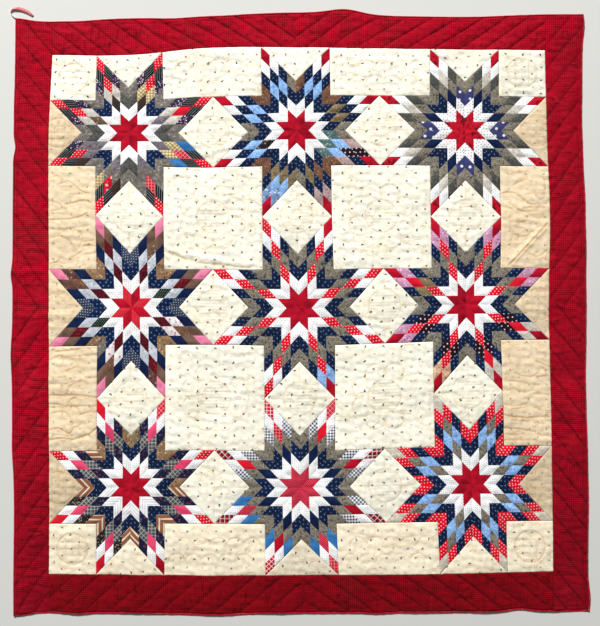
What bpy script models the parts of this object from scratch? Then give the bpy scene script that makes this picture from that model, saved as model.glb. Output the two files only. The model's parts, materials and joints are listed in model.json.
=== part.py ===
"""Star quilt blanket lying flat: nine pieced stars set edge to edge, a wide border and a narrow binding.

Metres, +Z up, +X to the quilt's right side and +Y to its top edge. The underside lies on Z = 0.
The plan is drawn in blocks: one star block is 1 wide and 1 long, and 0, 0 is the middle of the quilt.
"""
import math

import bmesh
import bpy
import numpy as np
from mathutils import Matrix, Vector

for leftover in list(bpy.data.objects):
    bpy.data.objects.remove(leftover)

MM = 0.001

# Sizes as the quilt lies, in metres
BLOCK_ACROSS = 0.532
BLOCK_ALONG = 0.558
BINDING_WIDTH = 0.006
GAP = 0.00035

# The plan, in blocks
HALF_PANEL = 1.5
STAR_ARM = 1 - math.sqrt(0.5)
SMALL_DIAMONDS = 4
GROUND_CELLS = 4
ALONG_CELLS = 20
ALONG_CELL = HALF_PANEL / ALONG_CELLS
BORDER_CELL = HALF_PANEL / 28
BORDER_CELLS = 4
BORDER_EDGE = HALF_PANEL + BORDER_CELLS * BORDER_CELL
EDGE = BORDER_EDGE + BINDING_WIDTH / BLOCK_ACROSS
HALF_GAP = GAP / 2 / BLOCK_ACROSS

# Thickness of the quilted cloth: at its seams, at the stitched lines of its border, and what rises between them
SEAM_HEIGHT = 0.0040
STITCH_HEIGHT = 0.0035
BINDING_HEIGHT = 0.0048
DIAMOND_PUFF = 0.0020
GROUND_PUFF = 0.0025
BORDER_PUFF = 0.0030

# How far each line of the plan strays as the quilt lies, in millimetres. A row is one line, from the left edge
# to the right one, or from the bottom edge to the top one. A column is a place along it, listed in PLACES.
LINES = (-EDGE, -1.5, -1, -0.5, 0, 0.5, 1, 1.5, EDGE)
PLACES = (-1.5, -1, -0.5, 0, 0.5, 1, 1.5)
STRAY_ACROSS = (
    (3, 4, -2, 0, 0, 3, 9),
    (-3, -1, -3, -3, -3, -3, 9),
    (-9, -6, -6, -4, -12, -12, -15),
    (-6, -5, -4, -9, -9, -8, -11),
    (11, 4, 3, 0, -6, -8, -12),
    (25, 10, 9, 9, -2, -7, -10),
    (31, 20, 10, 3, 2, -1, 1),
    (16, 13, 8, 2, 6, -5, -10),
    (9, 10, 2, 3, 1, -10, -9),
)
STRAY_ALONG = (
    (-5, -7, -12, -6, -5, -3, 0),
    (-6, -8, -11, -9, -8, -3, 3),
    (-8, -7, -6, -8, -1, 3, 3),
    (-4, -1, 0, -3, 5, 20, 23),
    (7, 10, 12, 9, 16, 20, 22),
    (30, 24, 21, 23, 24, 23, 20),
    (12, 12, 12, 20, 20, 20, 18),
    (-18, -18, 5, 7, 3, 0, -2),
    (-35, -25, -17, -6, -16, -20, -12),
)

# Short waves of the outer edge: side, place along it in blocks, push outwards in millimetres, half length in blocks
OUTWARD = {"left": (-1, 0), "right": (1, 0), "bottom": (0, -1), "top": (0, 1)}
EDGE_WAVES = (
    ("top", -1.72, 10, 0.09),
    ("top", -1.32, -2, 0.10),
    ("top", -0.74, -4, 0.15),
    ("top", 0.30, 16, 0.13),
    ("bottom", -1.70, 9, 0.09),
    ("bottom", -1.32, 4, 0.08),
    ("bottom", 0.42, 5, 0.08),
    ("bottom", 1.28, -6, 0.08),
    ("left", -0.24, 5, 0.12),
    ("left", -0.79, 4, 0.12),
    ("left", 0.18, 6, 0.05),
    ("left", 0.91, -6, 0.05),
    ("right", -1.66, 8, 0.09),
    ("right", 1.66, 6, 0.08),
)

# Ridges where the cloth lies uneven: middle x and y, heading in degrees, half length, half width, height
RIDGES = (
    (0.734, 0.214, 47, 0.087, 0.011, 0.0040),
    (-0.861, 0.125, 0, 0.055, 0.010, 0.0030),
    (-0.797, -0.016, 2, 0.110, 0.010, 0.0025),
    (-0.752, 0.890, -5, 0.050, 0.010, 0.0025),
    (-0.301, 0.170, -11, 0.150, 0.014, 0.0025),
    (-0.262, 0.515, 15, 0.060, 0.010, 0.0020),
)

# The loose strip at the top left corner, from that corner out and back to the top edge. Each row is x and y
# from the corner and the height of its middle, all in millimetres, its roll in degrees, where 0 stands on edge
# and 90 lies flat, and its width in millimetres.
STRIP_THICK = 0.0012
STRIP_ROUTE = (
    (0.1, 0.55, 3.1, 0, 5),
    (-10, 9, 3.1, 0, 5),
    (-16.5, 16, 3.1, 5, 5),
    (-14, 25, 3.2, 20, 5.5),
    (-6, 31, 3.7, 45, 8),
    (8, 32, 3.0, 70, 11),
    (27, 27, 1.9, 84, 12),
    (45, 17, 1.5, 86, 11),
    (57, 7, 1.2, 90, 6),
)

# Base colour and roughness of each cloth
CREAM = ((0.78, 0.70, 0.52, 1), 0.9)
RED = ((0.42, 0.006, 0.022, 1), 0.9)
DEEP_RED = ((0.28, 0.004, 0.015, 1), 0.9)
FADED_RED = ((0.55, 0.18, 0.18, 1), 0.9)


def weights(stations, t):
    """How much each station counts at t, on a smooth curve through them all: one row for each t."""
    stations = np.asarray(stations, dtype=float)
    t = np.clip(t, stations[0], stations[-1])
    cell = np.clip(np.searchsorted(stations, t) - 1, 0, len(stations) - 2)
    value = np.eye(len(stations))
    slope = np.gradient(value, stations, axis=0)
    width = (stations[cell + 1] - stations[cell])[:, None]
    f = (t - stations[cell])[:, None] / width
    return (
        value[cell] * (1 + 2 * f) * (1 - f) ** 2
        + slope[cell] * width * f * (1 - f) ** 2
        + value[cell + 1] * f * f * (3 - 2 * f)
        - slope[cell + 1] * width * f * f * (1 - f)
    )


def lie(u, v):
    """Where points u, v of the plan lie, in metres."""
    x = BLOCK_ACROSS * u + MM * np.einsum("pi,ij,pj->p", weights(LINES, u), STRAY_ACROSS, weights(PLACES, v))
    y = BLOCK_ALONG * v + MM * np.einsum("pi,ij,pj->p", weights(LINES, v), STRAY_ALONG, weights(PLACES, u))
    for side, at, push, reach in EDGE_WAVES:
        out_u, out_v = OUTWARD[side]
        outward = (u * out_u + v * out_v - HALF_PANEL) / (EDGE - HALF_PANEL)
        along = u * abs(out_v) + v * abs(out_u)
        wave = push * MM * np.clip(outward, 0, 1) * np.exp(-(((along - at) / reach) ** 2))
        x = x + out_u * wave
        y = y + out_v * wave
    return x, y


def ridge_height(x, y):
    """How far the ridges lift the cloth at x, y."""
    height = np.zeros_like(x)
    for middle_x, middle_y, heading, half_length, half_width, top in RIDGES:
        cos, sin = math.cos(math.radians(heading)), math.sin(math.radians(heading))
        along = (x - middle_x) * cos + (y - middle_y) * sin
        aside = (y - middle_y) * cos - (x - middle_x) * sin
        height += top * np.exp(-((along / half_length) ** 4) - (aside / half_width) ** 2)
    return height


def compass(eighth):
    """The direction of a star's seam: 0 points along +X, and each step turns 45 degrees."""
    return Vector((math.cos(eighth * math.pi / 4), math.sin(eighth * math.pi / 4), 0))


def add_patch(mesh, corner, side_a, side_b, cells, puff, look):
    """A parallelogram of the plan in cells by cells. Every other point inside it rises by puff."""
    points = bmesh.ops.create_grid(mesh, x_segments=cells, y_segments=cells, size=0.5)["verts"]
    for point in points:
        i = round((point.co.x + 0.5) * cells)
        j = round((point.co.y + 0.5) * cells)
        inside = 0 < i < cells and 0 < j < cells
        point.co.z = puff if inside and (i + j) % 2 else 0
    for face in {face for point in points for face in point.link_faces}:
        face.material_index = look
    shape = Matrix.Translation(corner + (side_a + side_b) / 2)
    shape.col[0] = side_a.to_4d() - Vector((0, 0, 0, 1))
    shape.col[1] = side_b.to_4d() - Vector((0, 0, 0, 1))
    bmesh.ops.transform(mesh, matrix=shape, verts=points)


def add_strip(mesh, us, vs):
    """A strip of the plan with a point at each of the places us across it and vs up it."""
    across, up = len(us) - 1, len(vs) - 1
    points = bmesh.ops.create_grid(mesh, x_segments=across, y_segments=up, size=0.5)["verts"]
    for point in points:
        point.co.x = us[round((point.co.x + 0.5) * across)]
        point.co.y = vs[round((point.co.y + 0.5) * up)]


def close_below(mesh, thickness):
    """Lays the plan out, gives it its thickness and closes it with a flat underside on the floor."""
    u = np.array([point.co.x for point in mesh.verts])
    v = np.array([point.co.y for point in mesh.verts])
    x, y = lie(u, v)
    rise = ridge_height(x, y)
    for point, px, py, lift in zip(mesh.verts, x, y, rise):
        point.co = (px, py, point.co.z + thickness + lift)
    rim = [edge for edge in mesh.edges if edge.is_boundary]
    skirt = bmesh.ops.extrude_edge_only(mesh, edges=rim)["geom"]
    for foot in skirt:
        if isinstance(foot, bmesh.types.BMVert):
            foot.co.z = 0
    bmesh.ops.contextual_create(mesh, geom=[edge for edge in mesh.edges if edge.is_boundary])
    bmesh.ops.recalc_face_normals(mesh, faces=mesh.faces)


def keep(mesh, name, look):
    """Makes the mesh an object with its own cloth, in the quilt's collection."""
    data = bpy.data.meshes.new(name)
    mesh.to_mesh(data)
    mesh.free()
    thing = bpy.data.objects.new(name, data)
    dress(thing, look)


def dress(thing, look):
    """Gives an object its cloth and puts it in the quilt's collection."""
    colour, roughness = look
    cloth = bpy.data.materials.new(thing.name)
    cloth.use_nodes = True
    shader = cloth.node_tree.nodes["Principled BSDF"]
    shader.inputs["Base Color"].default_value = colour
    shader.inputs["Roughness"].default_value = roughness
    shader.inputs["Metallic"].default_value = 0
    thing.data.materials.clear()
    thing.data.materials.append(cloth)
    quilt.objects.link(thing)


def centre_panel():
    """The pieced centre: nine stars of eight diamond points, with plain squares and kites between them."""
    mesh = bmesh.new()
    star_look, ground_look = 0, 1
    block_places = [(column, row) for column in (-1, 0, 1) for row in (-1, 0, 1)]
    for column, row in block_places:
        for eighth in range(8):
            side_a, side_b = STAR_ARM * compass(eighth), STAR_ARM * compass(eighth + 1)
            add_patch(mesh, Vector((column, row, 0)), side_a, side_b, SMALL_DIAMONDS, 0, star_look)
        for quarter in (1, 3, 5, 7):
            side_a, side_b = STAR_ARM * compass(quarter - 1), STAR_ARM * compass(quarter + 1)
            notch = Vector((column, row, 0)) + STAR_ARM * compass(quarter)
            add_patch(mesh, notch, side_a, side_b, GROUND_CELLS, GROUND_PUFF, ground_look)
    notches = [(column, row, side) for column, row in block_places for side in (0, 2)]
    notches += [(-2, row, 0) for row in (-1, 0, 1)] + [(column, -2, 2) for column in (-1, 0, 1)]
    for column, row, side in notches:
        notch = Vector((column, row, 0)) + STAR_ARM * compass(side)
        side_a, side_b = STAR_ARM * compass(side - 1), STAR_ARM * compass(side + 1)
        add_patch(mesh, notch, side_a, side_b, GROUND_CELLS, GROUND_PUFF, ground_look)
    bmesh.ops.remove_doubles(mesh, verts=mesh.verts, dist=0.0001)
    for side in OUTWARD.values():
        outward = Vector((*side, 0))
        everything = mesh.verts[:] + mesh.edges[:] + mesh.faces[:]
        bmesh.ops.bisect_plane(
            mesh, geom=everything, dist=0.00001, plane_co=outward * HALF_PANEL, plane_no=outward, clear_outer=True
        )
    limit = HALF_PANEL - HALF_GAP
    for point in mesh.verts:
        point.co.x = max(-limit, min(limit, point.co.x))
        point.co.y = max(-limit, min(limit, point.co.y))
    rim = [edge for edge in mesh.edges if edge.is_boundary]
    bmesh.ops.subdivide_edges(mesh, edges=rim, cuts=1)
    diamonds = [face for face in mesh.faces if face.material_index == star_look]
    middles = bmesh.ops.poke(mesh, faces=diamonds)["verts"]
    for middle in middles:
        middle.co.z = DIAMOND_PUFF
    for face in mesh.faces:
        face.material_index = 0
    close_below(mesh, SEAM_HEIGHT)
    keep(mesh, "centre_panel", CREAM)


def cells_out(place):
    """How many cells a place is from the middle: long cells over the panel, short ones over the border."""
    over_panel = min(abs(place), HALF_PANEL) / ALONG_CELL
    return round(over_panel + max(abs(place) - HALF_PANEL, 0) / BORDER_CELL)


def border(name, us, vs):
    """One border strip. Its quilting lines slant from corner to corner of its cells and its cloth rises between."""
    mesh = bmesh.new()
    add_strip(mesh, us, vs)
    for point in mesh.verts:
        on_line = (cells_out(point.co.x) - cells_out(point.co.y)) % 2 == 1
        point.co.z = 0 if on_line or point.is_boundary else BORDER_PUFF
    for face in mesh.faces[:]:
        middle = face.calc_center_median()
        lean = 1 if middle.x * middle.y > 0 else -1
        corners = sorted(face.verts, key=lambda corner: corner.co.x + lean * corner.co.y)
        bmesh.utils.face_split(face, corners[0], corners[-1])
    seam = HALF_PANEL + 2 * HALF_GAP
    at_seam = {point for point in mesh.verts if max(abs(point.co.x), abs(point.co.y)) < seam}
    seam_edges = [edge for edge in mesh.edges if edge.is_boundary and at_seam.issuperset(edge.verts)]
    bmesh.ops.subdivide_edges(mesh, edges=seam_edges, cuts=1)
    close_below(mesh, STITCH_HEIGHT)
    keep(mesh, name, RED)


def binding(name, us, vs):
    """One strip of the narrow binding that is folded over the raw edge."""
    mesh = bmesh.new()
    add_strip(mesh, us, vs)
    close_below(mesh, BINDING_HEIGHT)
    keep(mesh, name, DEEP_RED)


def loose_strip():
    """The end of old binding that has come away at the top left corner, rolled on edge and then lying flat."""
    route = bpy.data.curves.new("loose_binding", "CURVE")
    route.dimensions = "3D"
    route.twist_mode = "Z_UP"
    route.extrude = 0.5
    line = route.splines.new("NURBS")
    line.order_u = 4
    line.use_endpoint_u = True
    line.resolution_u = 5
    line.points.add(len(STRIP_ROUTE) - 1)
    corner_x, corner_y = lie(np.array([-EDGE]), np.array([EDGE]))
    for point, (x, y, z, roll, width) in zip(line.points, STRIP_ROUTE):
        point.co = (corner_x[0] + x * MM, corner_y[0] + y * MM, z * MM, 1)
        point.tilt = math.radians(roll)
        point.radius = width * MM
    strip = bpy.data.objects.new("loose_binding", route)
    dress(strip, FADED_RED)
    body = strip.modifiers.new("Thickness", "SOLIDIFY")
    body.thickness = STRIP_THICK
    body.offset = 0


def cell_lines(first, last):
    """Places of the cell lines from one place to another, in blocks."""
    outer = [HALF_PANEL + step * BORDER_CELL for step in range(1, BORDER_CELLS + 1)]
    inner = [step * ALONG_CELL for step in range(ALONG_CELLS + 1)]
    places = [-place for place in reversed(inner[1:] + outer)] + inner + outer
    return [place for place in places if first - BORDER_CELL / 2 < place < last + BORDER_CELL / 2]


def shifted(places, first, last):
    """The same places with the first and the last moved a little, to leave the gaps between pieces."""
    return [places[0] + first] + places[1:-1] + [places[-1] + last]


quilt = bpy.data.collections.new("star_quilt_blanket")
bpy.context.scene.collection.children.link(quilt)

centre_panel()

full_height = shifted(cell_lines(-BORDER_EDGE, BORDER_EDGE), HALF_GAP, -HALF_GAP)
between_sides = shifted(cell_lines(-HALF_PANEL, HALF_PANEL), HALF_GAP, -HALF_GAP)
low_side = shifted(cell_lines(-BORDER_EDGE, -HALF_PANEL), HALF_GAP, -HALF_GAP)
high_side = shifted(cell_lines(HALF_PANEL, BORDER_EDGE), HALF_GAP, -HALF_GAP)
border("border_left", low_side, full_height)
border("border_right", high_side, full_height)
border("border_bottom", between_sides, low_side)
border("border_top", between_sides, high_side)

full_width = [-EDGE] + cell_lines(-BORDER_EDGE, BORDER_EDGE) + [EDGE]
low_edge = [-EDGE, -BORDER_EDGE - HALF_GAP]
high_edge = [BORDER_EDGE + HALF_GAP, EDGE]
binding("binding_left", low_edge, full_height)
binding("binding_right", high_edge, full_height)
binding("binding_bottom", full_width, low_edge)
binding("binding_top", full_width, high_edge)

loose_strip()
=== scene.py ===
"""Looks of a pieced star quilt that lies flat, seen from straight above."""
import json
import math

import bpy
import numpy as np
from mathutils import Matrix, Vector
from mathutils.bvhtree import BVHTree
from mathutils.kdtree import KDTree

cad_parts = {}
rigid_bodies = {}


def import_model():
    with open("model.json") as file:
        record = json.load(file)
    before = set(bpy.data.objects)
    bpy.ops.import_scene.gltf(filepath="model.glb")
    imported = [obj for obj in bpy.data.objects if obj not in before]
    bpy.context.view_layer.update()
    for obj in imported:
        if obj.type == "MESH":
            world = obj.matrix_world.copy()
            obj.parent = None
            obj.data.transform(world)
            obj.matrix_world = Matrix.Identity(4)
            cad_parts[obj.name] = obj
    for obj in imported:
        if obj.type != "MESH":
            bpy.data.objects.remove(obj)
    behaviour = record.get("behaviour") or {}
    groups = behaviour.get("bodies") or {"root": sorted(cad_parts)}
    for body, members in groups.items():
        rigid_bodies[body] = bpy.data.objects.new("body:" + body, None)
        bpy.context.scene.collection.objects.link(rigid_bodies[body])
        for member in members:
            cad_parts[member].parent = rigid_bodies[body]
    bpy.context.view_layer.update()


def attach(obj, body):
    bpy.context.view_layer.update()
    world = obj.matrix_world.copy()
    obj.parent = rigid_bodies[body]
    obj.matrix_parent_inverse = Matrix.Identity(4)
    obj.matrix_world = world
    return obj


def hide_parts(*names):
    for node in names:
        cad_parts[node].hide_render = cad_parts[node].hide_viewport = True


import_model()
MM = 0.001


# The camera. It looks straight down on the quilt, because the cloth is spread on the ground
# and seen from right above. The slight lean of its edges is in the cloth's own outline.
GROUND_PER_PIXEL = 3.2 * MM
PICTURE_HEIGHT = 626
LENS = 50
SENSOR = 36
CAMERA_ASIDE = (GROUND_PER_PIXEL, -2 * GROUND_PER_PIXEL)
CLOTH_LEVEL = 5 * MM


def put(name, data):
    """A new object of the scene."""
    thing = bpy.data.objects.new(name, data)
    bpy.context.collection.objects.link(thing)
    return thing


camera_data = bpy.data.cameras.new("camera")
camera_data.lens = LENS
camera_data.sensor_width = SENSOR
camera = put("camera", camera_data)
camera.location = (*CAMERA_ASIDE, CLOTH_LEVEL + GROUND_PER_PIXEL * PICTURE_HEIGHT * LENS / SENSOR)
bpy.context.scene.camera = camera
bpy.context.scene.view_settings.view_transform = "Standard"


# The nine pieced stars. Each has eight points of sixteen small cotton diamonds, sewn edge to edge
# in rings of one cloth each, from a red heart out to a red tip. They are set three by three, and
# the whole top lies a little out of true, as a hand-sewn cloth does after years of washing.
BLOCK_ACROSS = 0.532
BLOCK_ALONG = 0.558
BINDING_WIDTH = 0.006
HALF_PANEL = 1.5
STAR_ARM = 1 - math.sqrt(0.5)
BORDER_WIDTH = HALF_PANEL / 7
BORDER_EDGE = HALF_PANEL + BORDER_WIDTH
EDGE = BORDER_EDGE + BINDING_WIDTH / BLOCK_ACROSS
SEAM_HEIGHT = 4.0 * MM
DIAMOND_PUFF = 1.6 * MM
DIAMONDS = 4
DIAMOND_CELLS = 9
DIAMOND_TONES = (0.93, 1.05)
POINTS = 8

# How far the cloth strays from the straight plan, in millimetres, at evenly spaced lines.
# Each row is a line and each column is a place along it.
LINES = (-EDGE, -1.5, -1, -0.5, 0, 0.5, 1, 1.5, EDGE)
PLACES = (-1.5, -1, -0.5, 0, 0.5, 1, 1.5)
STRAY_ACROSS = (
    (3, 4, -2, 0, 0, 3, 9),
    (-3, -1, -3, -3, -3, -3, 9),
    (-9, -6, -6, -4, -12, -12, -15),
    (-6, -5, -4, -9, -9, -8, -11),
    (11, 4, 3, 0, -6, -8, -12),
    (25, 10, 9, 9, -2, -7, -10),
    (31, 20, 10, 3, 2, -1, 1),
    (16, 13, 8, 2, 6, -5, -10),
    (9, 10, 2, 3, 1, -10, -9),
)
STRAY_ALONG = (
    (-5, -7, -12, -6, -5, -3, 0),
    (-6, -8, -11, -9, -8, -3, 3),
    (-8, -7, -6, -8, -1, 3, 3),
    (-4, -1, 0, -3, 5, 20, 23),
    (7, 10, 12, 9, 16, 20, 22),
    (30, 24, 21, 23, 24, 23, 20),
    (12, 12, 12, 20, 20, 20, 18),
    (-18, -18, 5, 7, 3, 0, -2),
    (-35, -25, -17, -6, -16, -20, -12),
)
OUTWARD = {"left": (-1, 0), "right": (1, 0), "bottom": (0, -1), "top": (0, 1)}

# Waves in the outer edge: side, place along it in blocks, push outward in millimetres, reach in blocks.
EDGE_WAVES = (
    ("top", -1.72, 10, 0.09),
    ("top", -1.32, -2, 0.10),
    ("top", -0.74, -4, 0.15),
    ("top", 0.30, 16, 0.13),
    ("bottom", -1.70, 9, 0.09),
    ("bottom", -1.32, 4, 0.08),
    ("bottom", 0.42, 5, 0.08),
    ("bottom", 1.28, -6, 0.08),
    ("left", -0.24, 5, 0.12),
    ("left", -0.79, 4, 0.12),
    ("left", 0.18, 6, 0.05),
    ("left", 0.91, -6, 0.05),
    ("right", -1.66, 8, 0.09),
    ("right", 1.66, 6, 0.08),
)


def weights(stations, t):
    """Share of each station in a smooth curve read at t, one row for each t."""
    stations = np.asarray(stations, dtype=float)
    t = np.clip(t, stations[0], stations[-1])
    cell = np.clip(np.searchsorted(stations, t) - 1, 0, len(stations) - 2)
    value = np.eye(len(stations))
    slope = np.gradient(value, stations, axis=0)
    width = (stations[cell + 1] - stations[cell])[:, None]
    f = (t - stations[cell])[:, None] / width
    return (
        value[cell] * (1 + 2 * f) * (1 - f) ** 2
        + slope[cell] * width * f * (1 - f) ** 2
        + value[cell + 1] * f * f * (3 - 2 * f)
        - slope[cell + 1] * width * f * f * (1 - f)
    )


def lie(u, v):
    """Where a place of the plan, in blocks from the middle, lies on the ground, in metres."""
    x = BLOCK_ACROSS * u + MM * np.einsum(
        "pi,ij,pj->p", weights(LINES, u), np.array(STRAY_ACROSS, float), weights(PLACES, v), optimize=True
    )
    y = BLOCK_ALONG * v + MM * np.einsum(
        "pi,ij,pj->p", weights(LINES, v), np.array(STRAY_ALONG, float), weights(PLACES, u), optimize=True
    )
    for side, at, push, reach in EDGE_WAVES:
        out_u, out_v = OUTWARD[side]
        outward = (u * out_u + v * out_v - HALF_PANEL) / (EDGE - HALF_PANEL)
        along = u * abs(out_v) + v * abs(out_u)
        wave = push * MM * np.clip(outward, 0, 1) * np.exp(-(((along - at) / reach) ** 2))
        x = x + out_u * wave
        y = y + out_v * wave
    return x, y


# Folds that stand up from the cloth: middle x and y in metres, heading in degrees, then
# half length, half width and height in metres.
RIDGES = (
    (0.734, 0.214, 47, 0.087, 0.011, 0.0040),
    (-0.861, 0.125, 0, 0.055, 0.010, 0.0030),
    (-0.797, -0.016, 2, 0.110, 0.010, 0.0025),
    (-0.752, 0.890, -5, 0.050, 0.010, 0.0025),
    (-0.301, 0.170, -11, 0.150, 0.010, 0.0015),
    (-0.262, 0.515, 15, 0.060, 0.010, 0.0020),
)

# Slow waves and fine puckers all over: count, shortest and longest wave in metres, height in metres.
SLOW_WAVES = (14, 0.12, 0.45, 0.00055)
FINE_PUCKERS = (34, 0.016, 0.050, 0.00013)

# Furrows that are pressed into the cloth, filled in by the sections below: points, depth, half width.
furrows = []

# The least height of the cloth's face, and the depth from which a furrow is fully darkened by painted shade
LEAST_HEIGHT = 0.8 * MM
FULL_SHADE_DEPTH = 1.5 * MM

# Seam points nearer than this part of a block are one
SEAM_GRAIN = 1e-6


def waves(x, y, count, shortest, longest, height, seed):
    """A sum of level waves of many headings, as loose cloth has."""
    chance = np.random.default_rng(seed)
    total = np.zeros_like(x)
    for _ in range(count):
        heading = chance.uniform(0, math.pi)
        turns = 2 * math.pi / chance.uniform(shortest, longest)
        start = chance.uniform(0, 2 * math.pi)
        total += height * np.sin(turns * (x * math.cos(heading) + y * math.sin(heading)) + start)
    return total


def ridge_height(x, y):
    """Height of the folds that stand up."""
    total = np.zeros_like(x)
    for middle_x, middle_y, heading, half_length, half_width, top in RIDGES:
        c, s = math.cos(math.radians(heading)), math.sin(math.radians(heading))
        along = (x - middle_x) * c + (y - middle_y) * s
        aside = (y - middle_y) * c - (x - middle_x) * s
        total += top * np.exp(-((along / half_length) ** 4) - (aside / half_width) ** 2)
    return total


def furrow_depth(x, y):
    """Depth of the nearest furrow at each place, in metres."""
    places, depths, half_widths = [], [], []
    for points, depth, half_width in furrows:
        places.extend(points)
        depths.extend([depth] * len(points))
        half_widths.extend([half_width] * len(points))
    tree = KDTree(len(places))
    for index, (px, py) in enumerate(places):
        tree.insert((px, py, 0), index)
    tree.balance()
    found = np.array([tree.find((px, py, 0))[1:] for px, py in zip(x.tolist(), y.tolist())])
    nearest = found[:, 0].astype(int)
    return np.array(depths)[nearest] * np.exp(-((found[:, 1] / np.array(half_widths)[nearest]) ** 2))


def block_patch(
    corner, side_one, side_two, cells_one, cells_two, puff, turn=0.0, cloth=0, tone=1.0, three=False
):
    """A cut patch on the plan, from its corner and two sides. puff(s, t) is its crown in metres, and
    turn is the heading of its threads in degrees. With three it is only the half by the corner."""
    s, t = np.meshgrid(np.arange(cells_one + 1), np.arange(cells_two + 1), indexing="ij")
    s, t = s.ravel(), t.ravel()
    u = corner[0] + side_one[0] * s / cells_one + side_two[0] * t / cells_two
    v = corner[1] + side_one[1] * s / cells_one + side_two[1] * t / cells_two
    c, n = math.cos(math.radians(turn)), math.sin(math.radians(turn))
    flat_x, flat_y = u * BLOCK_ACROSS, v * BLOCK_ALONG
    grain = np.stack([flat_x * c + flat_y * n, flat_y * c - flat_x * n], axis=-1)
    first = (s * (cells_two + 1) + t)[(s < cells_one) & (t < cells_two)]
    along, up = first // (cells_two + 1), first % (cells_two + 1)
    quads = np.stack([first, first + cells_two + 1, first + cells_two + 2, first + 1], axis=-1)
    if three:
        triangles = quads[along + up == cells_one - 1][:, (0, 1, 3)]
        quads = quads[along + up < cells_one - 1]
    else:
        triangles = np.zeros((0, 3), int)
    return {
        "plan": np.stack([u, v], axis=-1),
        "puff": puff(s / cells_one, t / cells_two),
        "grain": grain,
        "quads": quads,
        "triangles": triangles,
        "cloth": cloth,
        "tone": tone,
    }


def sew(name, patches, cloths, settle=1.0):
    """Joins patches into one closed cloth piece: the patches on top, a turned edge and a flat back.
    The last of the cloths is the back's."""
    plan = np.concatenate([p["plan"] for p in patches])
    puff = np.concatenate([p["puff"] for p in patches])
    grain = np.concatenate([p["grain"] for p in patches])
    starts = np.cumsum([0] + [len(p["plan"]) for p in patches])
    keys, first, merged = np.unique(
        np.round(plan / SEAM_GRAIN).astype(np.int64), axis=0, return_index=True, return_inverse=True
    )
    merged = merged.ravel()
    corners, sizes, grains, slots, tones = [], [], [], [], []
    for patch, start in zip(patches, starts):
        for faces in (patch["quads"], patch["triangles"]):
            if len(faces):
                corners.append(merged[faces + start].ravel())
                grains.append(grain[faces + start].reshape(-1, 2))
                sizes += [faces.shape[1]] * len(faces)
                slots += [patch["cloth"]] * len(faces)
                tones += [patch["tone"]] * len(faces)
    corners = np.concatenate(corners)
    sizes = np.array(sizes)
    u, v = plan[first].T
    x, y = lie(u, v)
    dip = furrow_depth(x, y) * settle if furrows else np.zeros_like(x)
    rise = waves(x, y, *SLOW_WAVES, seed=3) + waves(x, y, *FINE_PUCKERS, seed=8) + ridge_height(x, y)
    z = np.maximum(SEAM_HEIGHT * settle + puff[first] + (rise - dip) * settle, LEAST_HEIGHT)

    ends = np.cumsum(sizes)
    following = np.arange(1, len(corners) + 1)
    following[ends - 1] = ends - sizes
    here, there = corners, corners[following]
    pairs = set(zip(here.tolist(), there.tolist()))
    rim = {a: b for a, b in pairs if (b, a) not in pairs}
    count = len(x)
    below = {a: count + order for order, a in enumerate(rim)}
    low = np.zeros((len(rim), 3))
    low[:, 0] = x[list(rim)]
    low[:, 1] = y[list(rim)]
    walls = [(a, below[a], below[b], b) for a, b in rim.items()]
    backs, left = [], set(rim)
    while left:
        turn = [left.pop()]
        while rim[turn[-1]] != turn[0]:
            turn.append(rim[turn[-1]])
            left.discard(turn[-1])
        backs.append([below[a] for a in reversed(turn)])

    points = np.concatenate([np.stack([x, y, z], axis=-1), low])
    split = np.split(corners, ends[:-1])
    mesh = bpy.data.meshes.new(name)
    mesh.from_pydata(points.tolist(), [], [f.tolist() for f in split] + walls + backs)
    extra = len(walls) + len(backs)
    plain = np.array([points[i][:2] for face in walls + backs for i in face])
    mesh.uv_layers.new(name="grain").uv.foreach_set("vector", np.concatenate(grains + [plain]).ravel())
    mesh.polygons.foreach_set("use_smooth", [True] * len(split) + [False] * extra)
    edge_slots = [slots[0]] * len(walls) + [len(cloths) - 1] * len(backs)
    mesh.polygons.foreach_set("material_index", slots + edge_slots)
    mesh.attributes.new("tone", "FLOAT", "FACE").data.foreach_set("value", tones + [1.0] * extra)
    # How deep each point lies in a furrow, as a share that the materials darken with painted shade
    deep = np.concatenate([np.clip(dip / FULL_SHADE_DEPTH, 0, 1), np.zeros(len(low))])
    mesh.attributes.new("dip", "FLOAT", "POINT").data.foreach_set("value", deep)
    for cloth in cloths:
        mesh.materials.append(cloth)
    return put(name, mesh)


def dye(red, green, blue):
    """A dye's colour, from the 0 to 255 numbers of a colour card."""
    card = np.array([red, green, blue]) / 255
    linear = np.where(card <= 0.04045, card / 12.92, ((card + 0.055) / 1.055) ** 2.4)
    return (*linear.tolist(), 1.0)


# The pitch of the woven threads, how far they rise, how far the fine creases sink, and the size of the
# cloth's crumples, in millimetres
THREAD = 0.8
THREAD_RISE = 0.06
CREASE_SINK = 0.9
CRUMPLE_SIZE = 5.0

# In every cotton: the size of its cloudy dye in millimetres, and the stretch and shade of its slubs
PATCHY_SIZE = 55
SLUB_STRETCH = (0.12, 1.1, 1.0)
SLUB_SHADE = 0.10

# In creased cloth: how widely the fine creases wander and the size of the creased patches, both in
# millimetres, how level the creases lie, and how fine they are
CREASE_WANDER = 40
CREASED_PATCH = 70
CREASE_STRETCH = (1 / MM, 1.7 / MM, 1 / MM)
CREASE_FINE = 0.045
COTTON_SURFACE = {"Roughness": 0.9, "Sheen Weight": 0.03, "Specular IOR Level": 0.08}
BLACK = (0.0, 0.0, 0.0, 1.0)


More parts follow.
